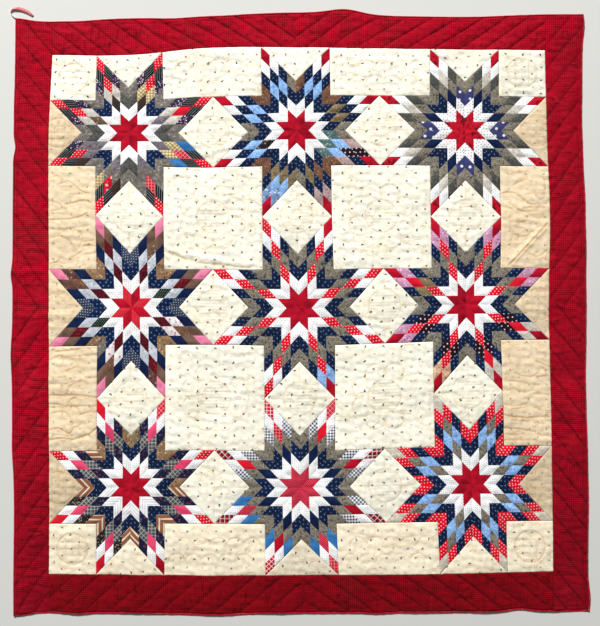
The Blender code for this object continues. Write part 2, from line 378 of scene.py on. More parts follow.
class Cotton:
    """One cotton cloth's material, made node by node. Lengths on its grain are in millimetres."""

    def __init__(self, name, by_place=False):
        self.material = bpy.data.materials.new(name)
        self.material.use_nodes = True
        self.tree = self.material.node_tree
        self.shader = self.tree.nodes["Principled BSDF"]
        for socket, value in COTTON_SURFACE.items():
            self.shader.inputs[socket].default_value = value
        if by_place:
            grain = self.node("TexCoord").outputs["Object"]
        else:
            grain = self.node("UVMap", uv_map="grain").outputs[0]
        self.grain = self.vector("SCALE", grain, scale=1 / MM)
        parts = self.node("SeparateXYZ", self.grain)
        self.x, self.y = parts.outputs[0], parts.outputs[1]

    def node(self, kind, *inputs, **settings):
        made = self.tree.nodes.new("ShaderNode" + kind)
        for key, value in settings.items():
            setattr(made, key, value)
        for socket, value in zip(made.inputs, inputs):
            self.feed(socket, value)
        return made

    def feed(self, socket, value):
        if isinstance(value, bpy.types.NodeSocket):
            self.tree.links.new(value, socket)
        elif value is not None:
            socket.default_value = value

    def math(self, operation, one, two=None, three=None):
        return self.node("Math", one, two, three, operation=operation).outputs[0]

    def times(self, one, two):
        return self.math("MULTIPLY", one, two)

    def plus(self, one, two):
        return self.math("ADD", one, two)

    def minus(self, one, two):
        return self.math("SUBTRACT", one, two)

    def over(self, one, two):
        return self.math("DIVIDE", one, two)

    def vector(self, operation, one, two=None, scale=None):
        made = self.node("VectorMath", one, two, operation=operation)
        if scale is not None:
            self.feed(made.inputs["Scale"], scale)
        return made.outputs[1] if operation == "LENGTH" else made.outputs[0]

    def mix(self, share, one, two, blend="MIX"):
        made = self.node("Mix", data_type="RGBA", blend_type=blend)
        self.feed(made.inputs[0], share)
        self.feed(made.inputs[6], one)
        self.feed(made.inputs[7], two)
        return made.outputs[2]

    def ramp(self, value, low, high, to_low=0.0, to_high=1.0):
        made = self.node("MapRange", value, low, high, to_low, to_high, interpolation_type="SMOOTHSTEP")
        return made.outputs[0]

    def place(self, x, y):
        return self.node("CombineXYZ", x, y, 0.0).outputs[0]

    def noise(self, size, detail=2.0, where=None):
        made = self.node("TexNoise")
        self.feed(made.inputs["Vector"], self.grain if where is None else where)
        made.inputs["Scale"].default_value = 1 / size
        made.inputs["Detail"].default_value = detail
        return made.outputs[0]

    def half_drop(self, pitch, row):
        """A repeat whose every other row is shifted by half: place in the cell, and its three chances."""
        level = self.over(self.y, row)
        number = self.math("FLOOR", level)
        shifted = self.math("MULTIPLY_ADD", number, 0.5, self.over(self.x, pitch))
        column = self.math("FLOOR", shifted)
        x = self.times(self.minus(self.minus(shifted, column), 0.5), pitch)
        y = self.times(self.minus(self.minus(level, number), 0.5), row)
        chance = self.node("TexWhiteNoise", self.place(column, number), noise_dimensions="2D")
        return x, y, self.node("SeparateColor", chance.outputs["Color"]).outputs

    def spot(self, x, y, at_x, at_y, reach_x, reach_y, soft=0.35):
        """One oval of a print: 1 inside, 0 outside, soft at its edge."""
        across = self.over(self.minus(x, at_x), reach_x)
        up = self.over(self.minus(y, at_y), reach_y)
        away = self.vector("LENGTH", self.place(across, up))
        return self.ramp(away, 1 - soft, 1 + soft, 1.0, 0.0)

    def turned(self, x, y, share):
        """The place in a cell, turned by a share of a full turn."""
        angle = self.times(share, 2 * math.pi)
        c, s = self.math("COSINE", angle), self.math("SINE", angle)
        along = self.math("MULTIPLY_ADD", x, c, self.times(y, s))
        aside = self.minus(self.times(y, c), self.times(x, s))
        return along, aside

    def weave(self, pucker, creased=0.0):
        """Raises the woven threads and a fine crumple, and sinks the fine creases."""
        warp = self.math("SINE", self.times(self.x, 2 * math.pi / THREAD))
        weft = self.math("SINE", self.times(self.y, 2 * math.pi / THREAD))
        woven = self.times(warp, weft)
        crumple = self.times(self.noise(CRUMPLE_SIZE, 2.0), pucker / THREAD_RISE)
        bump = self.node("Bump")
        bump.inputs["Strength"].default_value = 1.0
        bump.inputs["Distance"].default_value = THREAD_RISE * MM
        raised = self.plus(woven, crumple)
        height = self.math("MULTIPLY_ADD", creased, -CREASE_SINK / THREAD_RISE, raised)
        self.feed(bump.inputs["Height"], height)
        self.feed(self.shader.inputs["Normal"], bump.outputs[0])

    def fine_creases(self, crinkle):
        """Thin wandering creases that come in patches: 0 where the cloth is smooth."""
        place = self.vector("MULTIPLY", self.node("TexCoord").outputs["Object"], CREASE_STRETCH)
        off_crease = self.math("ABSOLUTE", self.minus(self.noise(CREASE_WANDER, 3.0, place), 0.5))
        patchily = self.ramp(self.noise(CREASED_PATCH, 1.0, place), 0.45, 0.65, 0.15, crinkle)
        return self.times(self.ramp(off_crease, 0.0, CREASE_FINE, 1.0, 0.0), patchily)

    def finish(self, colour, mottle=0.10, furrow_shade=0.20, pucker=0.25, crinkle=0.0, shade=BLACK):
        """Adds what every cotton has: uneven dye, slubs and woven threads, and painted shade in furrows and
        creases.
        """
        patchy = self.minus(self.noise(PATCHY_SIZE, 3.0), 0.5)
        slub_at = self.vector("MULTIPLY", self.grain, SLUB_STRETCH)
        slub = self.minus(self.noise(1.0, 1.0, slub_at), 0.5)
        level = self.math("MULTIPLY_ADD", patchy, mottle * 2, 1.0)
        level = self.math("MULTIPLY_ADD", slub, SLUB_SHADE, level)
        # Painted shade: the furrows, by their depth, and the fine creases are darkened toward the shade
        # colour.
        dip = self.node("Attribute", attribute_name="dip").outputs["Fac"]
        creased = self.fine_creases(crinkle) if crinkle else 0.0
        painted_shade = self.math("MULTIPLY_ADD", dip, furrow_shade, creased)
        colour = self.mix(painted_shade, colour, self.mix(1.0, colour, shade, "MULTIPLY"))
        tone = self.node("Attribute", attribute_name="tone").outputs["Fac"]
        level = self.times(level, tone)
        self.feed(self.shader.inputs["Base Color"], self.vector("SCALE", colour, scale=level))
        self.weave(pucker, creased)
        return self.material


def plain(cotton, ground, motif, second, size):
    """A solid dye with faint clouds of a second one."""
    return cotton.mix(cotton.ramp(cotton.noise(size, 3.0), 0.4, 0.7), ground, motif)


def dots(cotton, ground, motif, second, size):
    """Round dots in a half-drop repeat."""
    x, y, chance = cotton.half_drop(size, size * 0.62)
    x = cotton.math("MULTIPLY_ADD", cotton.minus(chance[0], 0.5), size * 0.12, x)
    return cotton.mix(cotton.spot(x, y, 0.0, 0.0, size * 0.13, size * 0.13), ground, motif)


def sprigs(cotton, ground, motif, second, size):
    """Small leafy sprigs with a bud, turned all ways."""
    x, y, chance = cotton.half_drop(size, size * 0.62)
    along, aside = cotton.turned(x, y, chance[0])
    leaf = cotton.spot(along, aside, -size * 0.05, 0.0, size * 0.17, size * 0.07)
    bud = cotton.spot(along, aside, size * 0.12, size * 0.05, size * 0.08, size * 0.07)
    return cotton.mix(bud, cotton.mix(leaf, ground, motif), second)


def stripes(cotton, ground, motif, second, size):
    """Even stripes along the threads, with a hairline between."""
    turn = cotton.times(cotton.y, 2 * math.pi / size)
    wave = cotton.math("SINE", turn)
    fine = cotton.math("COSINE", cotton.times(turn, 2))
    striped = cotton.mix(cotton.ramp(wave, 0.25, 0.6), ground, motif)
    return cotton.mix(cotton.ramp(fine, 0.85, 0.95), striped, second)


def bands(cotton, way, size):
    """Even bands across one way of the threads."""
    return cotton.ramp(cotton.math("SINE", cotton.times(way, 2 * math.pi / size)), -0.2, 0.2)


def gingham(cotton, ground, motif, second, size):
    """Woven checks: two sets of bands, darkest where they cross."""
    crossed = cotton.plus(bands(cotton, cotton.x, size), bands(cotton, cotton.y, size))
    return cotton.mix(cotton.times(crossed, 0.5), ground, motif)


def plaid(cotton, ground, motif, second, size):
    """Broad crossed bands with thin lines of another colour over them."""
    colour = gingham(cotton, ground, motif, second, size)
    for way in (cotton.x, cotton.y):
        line = cotton.math("COSINE", cotton.times(way, 2 * math.pi / size))
        colour = cotton.mix(cotton.ramp(line, 0.80, 0.95, 0.0, 0.85), colour, second)
    return colour


def flowers(cotton, ground, motif, second, size):
    """A close all-over print of petals and leaves in two colours."""
    cells = cotton.node("TexVoronoi")
    cotton.feed(cells.inputs["Vector"], cotton.grain)
    cells.inputs["Scale"].default_value = 1 / size
    ragged = cotton.math("MULTIPLY_ADD", cotton.noise(size * 0.3, 1.0), 0.35, cells.outputs["Distance"])
    petal = cotton.ramp(ragged, 0.42, 0.58, 1.0, 0.0)
    chance = cotton.node("SeparateColor", cells.outputs["Color"]).outputs[0]
    kind = cotton.ramp(chance, 0.45, 0.55)
    return cotton.mix(petal, ground, cotton.mix(kind, motif, second))


def specks(cotton, ground, motif, second, size):
    """A tiny scattered print that reads as a soft mixture from afar."""
    fine = cotton.ramp(cotton.noise(size, 1.0), 0.52, 0.62)
    broad = cotton.ramp(cotton.noise(size * 2.3, 1.0), 0.56, 0.66)
    return cotton.mix(broad, cotton.mix(fine, ground, motif), second)


# The scrap bag: letter, name, kind of print, ground, print and second dye, size of the repeat in mm.
SCRAPS = (
    ("D", "turkey_red", plain, (186, 16, 42), (142, 8, 30), None, 60),
    ("r", "bright_red", plain, (226, 28, 48), (200, 20, 44), None, 40),
    ("W", "white_pale_dot", dots, (254, 253, 252), (158, 178, 186), None, 9),
    ("2", "white_teal_dot", dots, (253, 254, 254), (80, 116, 122), None, 8),
    ("w", "white_pin_dot", dots, (250, 250, 250), (40, 44, 70), None, 12),
    ("I", "white_pin_stripe", stripes, (250, 250, 248), (214, 216, 222), (236, 236, 238), 8),
    ("N", "navy_sprig", sprigs, (17, 31, 62), (112, 134, 166), (60, 84, 122), 17),
    ("n", "navy", plain, (14, 28, 64), (22, 40, 78), None, 40),
    ("s", "navy_stars", dots, (16, 34, 70), (104, 128, 162), None, 17),
    ("S", "slate", specks, (80, 80, 78), (108, 108, 102), (54, 54, 56), 3),
    ("R", "red_dots", dots, (224, 18, 44), (252, 226, 222), None, 12),
    ("T", "taupe", specks, (120, 113, 101), (160, 152, 136), (82, 78, 72), 4),
    ("t", "tan_brown", flowers, (146, 116, 86), (98, 66, 48), (204, 176, 140), 8),
    ("G", "grey_fleck", specks, (122, 116, 110), (90, 84, 80), (160, 152, 142), 4),
    ("g", "dark_grey", specks, (80, 80, 76), (60, 60, 58), (106, 104, 98), 4),
    ("L", "pale_beige", specks, (208, 202, 190), (182, 174, 164), (222, 218, 210), 6),
    ("l", "light_blue", specks, (134, 180, 235), (186, 213, 245), (112, 158, 220), 5),
    ("B", "mid_blue", plain, (48, 112, 176), (66, 132, 190), None, 40),
    ("b", "dark_brown", stripes, (58, 46, 42), (40, 32, 32), (92, 76, 66), 7),
    ("K", "black_stripe", stripes, (18, 24, 30), (28, 36, 42), (150, 154, 152), 13),
    ("k", "maroon_black_dots", dots, (38, 18, 30), (220, 214, 214), None, 18),
    ("P", "pink", plain, (236, 134, 168), (228, 118, 156), None, 40),
    ("p", "rose_pink", plain, (234, 78, 118), (222, 60, 104), None, 40),
    ("Y", "yellow_plaid", plaid, (236, 222, 176), (196, 168, 112), (74, 66, 44), 10),
    ("y", "olive_print", flowers, (128, 112, 82), (168, 150, 116), (88, 76, 58), 8),
    ("F", "navy_floral", flowers, (44, 44, 66), (236, 230, 240), (206, 140, 176), 6),
    ("f", "dark_floral", flowers, (36, 32, 36), (118, 88, 76), (170, 152, 138), 7),
    ("M", "maroon", specks, (84, 18, 30), (110, 30, 42), (58, 12, 24), 4),
    ("m", "rose_print", dots, (196, 38, 64), (232, 120, 138), None, 6),
    ("Q", "red_plaid", plaid, (232, 40, 60), (178, 18, 40), (248, 160, 166), 10),
    ("q", "red_black_plaid", plaid, (190, 26, 42), (38, 16, 24), (236, 214, 212), 14),
    ("O", "orange_floral", flowers, (112, 80, 62), (178, 122, 94), (74, 54, 48), 7),
    ("o", "brown_pink_floral", flowers, (98, 68, 60), (190, 140, 136), (66, 46, 44), 9),
    ("U", "violet_dots", dots, (62, 64, 112), (238, 240, 248), None, 34),
    ("H", "navy_gingham", gingham, (238, 242, 248), (8, 16, 46), None, 9),
    ("h", "red_windowpane", plaid, (214, 28, 50), (190, 18, 42), (255, 240, 240), 11),
    ("V", "lilac_floral", flowers, (206, 150, 182), (236, 206, 222), (150, 96, 138), 8),
    ("v", "grey_lilac", specks, (116, 108, 116), (138, 130, 138), (94, 86, 94), 5),
    ("X", "red_black_floral", flowers, (92, 20, 30), (180, 34, 48), (34, 20, 26), 8),
    ("x", "brown_motif", flowers, (104, 82, 66), (168, 146, 122), (76, 58, 48), 9),
    ("Z", "rust_stripe", stripes, (150, 92, 66), (228, 204, 176), (66, 48, 42), 15),
    ("3", "teal_print", flowers, (86, 112, 112), (158, 180, 176), (58, 82, 90), 8),
    ("4", "fine_red_dots", dots, (208, 24, 46), (236, 120, 132), None, 7),
    ("z", "grey_plaid", plaid, (108, 110, 110), (46, 50, 56), (186, 186, 180), 11),
    ("C", "peach_floral", flowers, (208, 168, 136), (236, 214, 188), (168, 116, 88), 9),
    ("c", "oatmeal", specks, (206, 198, 182), (188, 178, 162), (222, 216, 204), 6),
    ("E", "navy_russet", flowers, (24, 30, 60), (118, 54, 52), (86, 96, 128), 9),
    ("e", "pale_grey_blue", flowers, (196, 202, 210), (222, 226, 232), (160, 168, 182), 9),
    ("i", "white_pink_motif", flowers, (236, 232, 230), (214, 116, 136), (196, 200, 208), 11),
    ("j", "slate_dots", dots, (52, 62, 84), (196, 200, 210), None, 10),
    ("J", "bottle_dots", dots, (24, 42, 36), (150, 160, 140), None, 8),
    ("a", "blue_white_print", flowers, (124, 150, 190), (226, 232, 240), (76, 100, 150), 8),
    ("A", "pink_grey_print", flowers, (176, 152, 150), (206, 176, 178), (112, 100, 100), 9),
    ("d", "red_black_streak", specks, (192, 20, 42), (160, 16, 34), (104, 12, 26), 7),
    ("1", "plain_brown", plain, (116, 90, 76), (94, 70, 60), None, 30),
    ("u", "red_big_flower", flowers, (210, 20, 44), (244, 236, 236), (240, 214, 216), 22),
)

# The nine stars, from the left of each row, top row first. Each has eight points, counted round from
# the right's upper one. A point's letters run ring by ring from the heart to the tip, and each ring
# from the side next to the upright or level seam to the side next to the slanting seam.
STARS = (
    (
        "D WW Svs GLLG FrF KK R",
        "D WW Sbs GYYG FRF KK R",
        "D WW Sbs GLLG FRF KK R",
        "D WW Sxs GLLG FRF KK R",
        "D WW Svs GvvG FRb KK R",
        "D WW Svs GGGG buY KK R",
        "D WW Svs GGGG GQG KK R",
        "D WW Svs GYYG BQB KK R",
    ),
    (
        "D WW NNN TyyO NNN WW D",
        "D WW NNN OllO NNN WW D",
        "D WW NNN TllO NNN WW D",
        "D WW NNN TllO NNN WW D",
        "D WW NfN TllO NNN WW D",
        "D WW NNN yyyO llN aa D",
        "D WW NNN TyOO NNN AA D",
        "D WW 333 TllO AkA kN D",
    ),
    ("d ww UnN TTTT gLg WW d",) * POINTS,
    (
        "4 WW sJs jeet nXn 11 P",
        "D WW sMs jeet nxn 11 P",
        "4 WW sMs jeet nXn 11 P",
        "D WW sMs jeet nOn oo P",
        "4 WW sJs jeet nXn 11 P",
        "D WW sMs jiiG nOn 11 P",
        "4 WW sMs jeet nXn o1 P",
        "D WW sMs jiit nOn 11 P",
    ),
    (
        "D WW NRN TTTT NRN WW R",
        "D WW NRN TTTT NRN WW D",
        "D WW NRN TTTT NRN WW R",
        "D WW NRN TTTT NRN WW R",
        "D WW NRN TTTT NRN WW R",
        "D WW NRN TTTT NRN WW R",
        "D WW NRN TTTT NRN ll D",
        "D WW NRN TTTT NRN WW R",
    ),
    (
        "D WW NRN TTTT srs VV D",
        "D WW NRN TTTT sRs VV D",
        "D WW NRN TTTT sRs VV D",
        "D WW NRN TyyT srs VV D",
        "D WW NRN TkkT sRs VV D",
        "D WW NRN TkkT sRs CC D",
        "D WW NRN TkkT srs LL D",
        "D WW NRN TkkT srs LL D",
    ),
    (
        "D WW NEN tzzt EpE WW R",
        "D WW NEN yzzt EpE WW Q",
        "D WW NEN tzzt EpE WW r",
        "D WW NEN ZzzZ EpE WW R",
        "D II NEN ZzzZ fpf WW r",
        "D II NEN ZzzZ fpf WW r",
        "D II NEN ZzzZ EpE WW D",
        "D II NEN ZzzZ EpE WW R",
    ),
    (
        "m WW NnN TTTT HDH WW q",
        "m WW NnN TTTT HrH WW Q",
        "m WW snN TTTT HQH WW h",
        "m WW snN TTTT HrH WW q",
        "m WW snN TTTT BmB WW q",
        "m WW NnN TTTT BDB WW h",
        "m WW NnN TTTT BmB WW Q",
        "m WW NnN TTTT HDH WW q",
    ),
    ("D 22 NTN RllR NTN RR c",) * POINTS,
)


def backing_cotton():
    """The quilt's plain back, unbleached muslin."""
    cotton = Cotton("muslin_back")
    return cotton.finish(plain(cotton, dye(236, 226, 202), dye(224, 210, 182), None, 70), mottle=0.06)


back_cloth = backing_cotton()
scraps, scrap_place = [], {}
for letter, name, print_kind, ground, motif, second, size in SCRAPS:
    cotton = Cotton(name)
    colour = print_kind(cotton, dye(*ground), dye(*motif), dye(*second) if second else None, size)
    scrap_place[letter] = len(scraps)
    scraps.append(cotton.finish(colour))


def diamond_puff(s, t):
    """The crown of a small diamond, low at its seams."""
    return DIAMOND_PUFF * (1 - abs(2 * s - 1) ** 3) * (1 - abs(2 * t - 1) ** 3)


def radial(number):
    """One of the star's eight seams, as a step on the plan."""
    angle = math.radians(45 * number)
    return np.array([math.cos(angle), math.sin(angle)])


def star_patches(centre, charts, chance):
    """The 128 small diamonds of one star."""
    patches = []
    small = STAR_ARM / DIAMONDS
    for point, chart in enumerate(charts):
        rings = chart.split()
        one, two = radial(point), radial(point + 1)
        for p in range(DIAMONDS):
            for q in range(DIAMONDS):
                ring = rings[p + q]
                from_upright = q if point % 2 == 0 else p
                letter = ring[from_upright - max(0, p + q - DIAMONDS + 1)]
                along = 45 * (point + 1) if p > q else 45 * point
                patches.append(
                    block_patch(
                        centre + small * (p * one + q * two),
                        small * one,
                        small * two,
                        DIAMOND_CELLS,
                        DIAMOND_CELLS,
                        diamond_puff,
                        turn=along,
                        cloth=scrap_place[letter],
                        tone=chance.uniform(*DIAMOND_TONES),
                    )
                )
                patches[-1]["grain"] += chance.uniform(-1, 1, 2)
    return patches


# The cream ground between the stars: squares, squares on point and rectangles of one sprigged
# cotton, and triangles along the panel's edges. The pieces down the left and right sides come
# from an older, tanned length of the same print. All are hand quilted to the back.
ARM_CELLS = 58
GROUND_PUFF = 1.8 * MM
ROLL = 9 * MM
ARM_LENGTH = STAR_ARM * (BLOCK_ACROSS + BLOCK_ALONG) / 2
TIP = math.sqrt(0.5) * STAR_ARM
RIM = HALF_PANEL - STAR_ARM / 2


def ground_puff(long_one, long_two, three=False):
    """A flat crown that rolls down to the seams, for a patch of the given number of star arms."""

    def puff(s, t):
        one, two = long_one * ARM_LENGTH, long_two * ARM_LENGTH
        level = np.ones_like(s)
        edges = [s * one, t * two]
        edges += [(1 - s - t) * one / math.sqrt(2)] if three else [(1 - s) * one, (1 - t) * two]
        for away in edges:
            level = level * (1 - np.exp(-np.maximum(away, 0) / ROLL))
        return GROUND_PUFF * level

    return puff


def ground_patch(corner, one, two, long_one, long_two, **looks):
    """A cream or tan patch whose sides are so many star arms long."""
    one, two = np.array(one) * long_one * STAR_ARM, np.array(two) * long_two * STAR_ARM
    cells = round(ARM_CELLS * long_one), round(ARM_CELLS * long_two)
    puff = ground_puff(long_one, long_two, looks.get("three", False))
    return block_patch(np.array(corner), one, two, *cells, puff, **looks)


def upright_patch(u, v, wide, high, **looks):
    """A square or rectangle about its middle, so many star arms wide and high."""
    corner = (u - wide * STAR_ARM / 2, v - high * STAR_ARM / 2)
    return ground_patch(corner, (1, 0), (0, 1), wide, high, **looks)


def on_point_patch(u, v):
    """A square that stands on its point, about its middle."""
    return ground_patch((u, v - TIP), radial(1), radial(3), 1, 1, turn=45)


def edge_triangle(u, v, side, tone=1.0, cloth=0):
    """Half of a square on point, with its long side on the panel's edge."""
    out_u, out_v = OUTWARD[side]
    apex = (u - out_u * TIP, v - out_v * TIP)
    first = {"left": 3, "right": -1, "bottom": 5, "top": 1}[side]
    ways = radial(first), radial(first + 2)
    return ground_patch(apex, *ways, 1, 1, turn=45, three=True, tone=tone, cloth=cloth)


ON_POINT = [(u, v) for u in (-0.5, 0.5) for v in (-1, 0, 1)]
ON_POINT += [(u, v) for u in (-1, 0, 1) for v in (-0.5, 0.5)]

# Some pieces are darker than others, most of them toward the bottom and the right. Corner squares: place
# on the plan, and how light each one is. Triangles: side, place on the plan, and how light each one is.
CREAM_CORNERS = (
    (-1, -1, 1.0),
    (-1, 1, 1.0),
    (1, -1, 1.0),
    (1, 1, 0.92),
)
CREAM_TRIANGLES = (
    ("top", -1, HALF_PANEL, 1.0),
    ("top", 0, HALF_PANEL, 1.0),
    ("top", 1, HALF_PANEL, 0.95),
    ("bottom", -1, -HALF_PANEL, 1.0),
    ("bottom", 0, -HALF_PANEL, 0.87),
    ("bottom", 1, -HALF_PANEL, 0.97),
)
TAN_TRIANGLES = (
    ("left", -HALF_PANEL, 1, 0.94),
    ("left", -HALF_PANEL, 0, 1.0),
    ("left", -HALF_PANEL, -1, 0.85),
    ("right", HALF_PANEL, 1, 0.91),
    ("right", HALF_PANEL, 0, 0.91),
    ("right", HALF_PANEL, -1, 0.80),
)
GROUND = {
    "cream_squares": [upright_patch(u, v, 2, 2) for u in (-0.5, 0.5) for v in (-0.5, 0.5)],
    "cream_on_point": [on_point_patch(u, v) for u, v in ON_POINT],
    "cream_rectangles": [
        upright_patch(u, v * RIM, 2, 1, turn=90, cloth=v < 0) for u in (-0.5, 0.5) for v in (-1, 1)
    ],
    "cream_corners": [
        upright_patch(u * RIM, v * RIM, 1, 1, cloth=v < 0, tone=tone) for u, v, tone in CREAM_CORNERS
    ],
    "cream_triangles": [
        edge_triangle(u, v, side, tone, cloth=v < 0) for side, u, v, tone in CREAM_TRIANGLES
    ],
    "tan_rectangles": [upright_patch(u * RIM, v, 1, 2) for u in (-1, 1) for v in (-0.5, 0.5)],
    "tan_triangles": [edge_triangle(u, v, side, tone) for side, u, v, tone in TAN_TRIANGLES],
}

# The ground's print, in millimetres: the repeat's pitch and row, how far a sprig strays, how ragged its
# outline is, and the ovals of leaf, stem and bud, each with its middle x and y and its reach in x and y.
SPRIG_PITCH = 58
SPRIG_ROW = 22.5
SPRIG_STRAY = (4.0, 3.0)
SPRIG_RAGGED = 3.0
LEAF = (-1.2, 0.2, 4.4, 2.0)
STEM = (2.0, 1.2, 1.6, 3.4)
BUD = (0.0, 0.0, 3.4, 3.0)
LEAF_DYE = dye(56, 50, 46)
STEM_DYE = dye(58, 74, 56)
BUD_DYE = dye(132, 48, 74)
# The warm brown toward which the ground's furrows and fine creases are darkened: painted shade
FURROW_SHADE_DYE = dye(222, 198, 160)
AGED_CLOUD = 120


def sprigged_ground(name, ground, aged, print_left):
    """White-ground cotton, tanned by age in clouds: rows of dark sprigs by turns with rows of small
    plum buds, half a repeat apart. print_left is how much of the print washing has left."""
    cotton = Cotton(name)
    x, y, chance = cotton.half_drop(SPRIG_PITCH, SPRIG_ROW)
    x = cotton.math("MULTIPLY_ADD", cotton.minus(chance[1], 0.5), SPRIG_STRAY[0], x)
    y = cotton.math("MULTIPLY_ADD", cotton.minus(chance[2], 0.5), SPRIG_STRAY[1], y)
    ragged = cotton.minus(cotton.noise(SPRIG_RAGGED, 1.0), 0.5)
    x = cotton.math("MULTIPLY_ADD", ragged, SPRIG_RAGGED, x)
    along, aside = cotton.turned(x, y, chance[0])
    row = cotton.math("FLOOR", cotton.over(cotton.y, SPRIG_ROW))
    bud_row = cotton.math("FLOORED_MODULO", row, 2.0)
    sprig_row = cotton.minus(1.0, bud_row)
    leaf = cotton.spot(along, aside, *LEAF)
    stem = cotton.spot(along, aside, *STEM)
    bud = cotton.spot(x, y, *BUD)
    faint = cotton.ramp(chance[1], 0.0, 0.8, 0.35 * print_left, print_left)
    on_sprigs = cotton.times(sprig_row, cotton.math("MULTIPLY_ADD", faint, 0.6, 0.4 * print_left))
    on_buds = cotton.times(bud_row, cotton.times(faint, 0.92))
    clouds = cotton.ramp(cotton.noise(AGED_CLOUD, 4.0), 0.42, 0.80)
    colour = cotton.mix(clouds, ground, aged)
    colour = cotton.mix(cotton.times(leaf, on_sprigs), colour, LEAF_DYE)
    colour = cotton.mix(cotton.times(stem, on_sprigs), colour, STEM_DYE)
    colour = cotton.mix(cotton.times(bud, on_buds), colour, BUD_DYE)
    # Its furrows and fine creases are darkened toward a warm brown: painted shade.
    return cotton.finish(colour, mottle=0.03, furrow_shade=0.65, pucker=0.4, crinkle=0.40, shade=FURROW_SHADE_DYE)


cream_cloth = sprigged_ground("cream_sprig", dye(255, 252, 235), dye(251, 244, 219), 1.0)
aged_cream_cloth = sprigged_ground("aged_cream_sprig", dye(252, 240, 214), dye(246, 232, 202), 0.9)
tan_cloth = sprigged_ground("tan_sprig", dye(243, 222, 188), dye(232, 208, 171), 0.45)

# Hand quilting on the ground, in millimetres from a patch's middle: rings, the lines that fill them,
# petals round the rings of the squares, lines out to the corners of the squares on point, and scallops.
RING = 51
RING_LINE_GAP = 10
GRID_GAP = 22
GRID_PULL = 1.25
PETAL = 32
PETALS = 8
PETAL_OUT = RING + 0.75 * PETAL
PETAL_SWEEP = 115
CORNER_LINE = (1.05 * RING, 1.9 * RING)
SCALLOP = 26
SCALLOP_DROP = 14
SCALLOP_ENDS = (12, 168)
QUILT_DEPTH = 1.2 * MM
LINE_DEPTH = 0.8 * MM
QUILT_HALF_WIDTH = 2.3 * MM
QUILT_PULL = (0.6, 1.0)
quilt_lines = []
pull = np.random.default_rng(12)


def arc(x, y, radius, start=0, stop=360):
    """Places along part of a circle."""
    steps = max(8, int(abs(stop - start) * radius / 100))
    angles = np.radians(np.linspace(start, stop, steps))
    return np.stack([x + radius * np.cos(angles), y + radius * np.sin(angles)], axis=-1)


def straight(x, y, end_x, end_y):
    """Places along a straight line, some 2 mm apart."""
    steps = max(2, int(math.hypot(end_x - x, end_y - y) / 2))
    return np.stack([np.linspace(x, end_x, steps), np.linspace(y, end_y, steps)], axis=-1)


def quilt(u, v, line, depth=QUILT_DEPTH):
    """Stitches a line through the layers. The line is in millimetres from the place u, v of the plan."""
    u, v = u + line[:, 0] * MM / BLOCK_ACROSS, v + line[:, 1] * MM / BLOCK_ALONG
    path = np.stack(lie(u, v), axis=-1)
    inside = np.maximum(np.abs(u), np.abs(v)) < HALF_PANEL
    furrows.append((path[inside].tolist(), depth * pull.uniform(*QUILT_PULL), QUILT_HALF_WIDTH))
    quilt_lines.append(path)


def lined_ring(u, v, gap=RING_LINE_GAP, crossed=False, drawn=1.0):
    """A ring filled with level lines, or with a grid. drawn is how hard its stitches were pulled."""
    quilt(u, v, arc(0, 0, RING), depth=QUILT_DEPTH * drawn)
    for step in range(-int(RING / gap), int(RING / gap) + 1):
        half = math.sqrt(RING**2 - (step * gap) ** 2)
        quilt(u, v, straight(-half, step * gap, half, step * gap), depth=LINE_DEPTH * drawn)
        if crossed:
            quilt(u, v, straight(step * gap, -half, step * gap, half), depth=LINE_DEPTH * drawn)


for u in (-0.5, 0.5):
    for v in (-0.5, 0.5):
        lined_ring(u, v)
        for petal in range(PETALS):
            angle = 360 * (petal + 0.5) / PETALS
            x, y = PETAL_OUT * math.cos(math.radians(angle)), PETAL_OUT * math.sin(math.radians(angle))
            quilt(u, v, arc(x, y, PETAL, angle - PETAL_SWEEP, angle + PETAL_SWEEP))
for u, v in ON_POINT:
    crossed = (u, v) == (-0.5, -1)
    lined_ring(u, v, GRID_GAP if crossed else RING_LINE_GAP, crossed)
    for corner in range(4):
        c, s = math.cos(math.radians(90 * corner)), math.sin(math.radians(90 * corner))
        near, far = CORNER_LINE
        quilt(u, v, straight(near * c, near * s, far * c, far * s))
for u in (-1, 1):
    for v in (-1, 1):
        lined_ring(u * RIM, v * RIM, GRID_GAP, crossed=(u, v) != (-1, 1), drawn=GRID_PULL)
for u in (-0.5, 0.5):
    for v in (-1, 1):
        for step in range(-2, 3):
            for row in (-1, 1):
                x, y = SCALLOP * (2 * step + 0.5 * row), SCALLOP * row - SCALLOP_DROP
                quilt(u, v * RIM, arc(x, y, SCALLOP, *SCALLOP_ENDS))
for u in (-1, 1):
    for v in (-1, 0, 1):
        lined_ring(u * (HALF_PANEL - 0.3 * TIP), v, GRID_GAP, crossed=True, drawn=GRID_PULL)
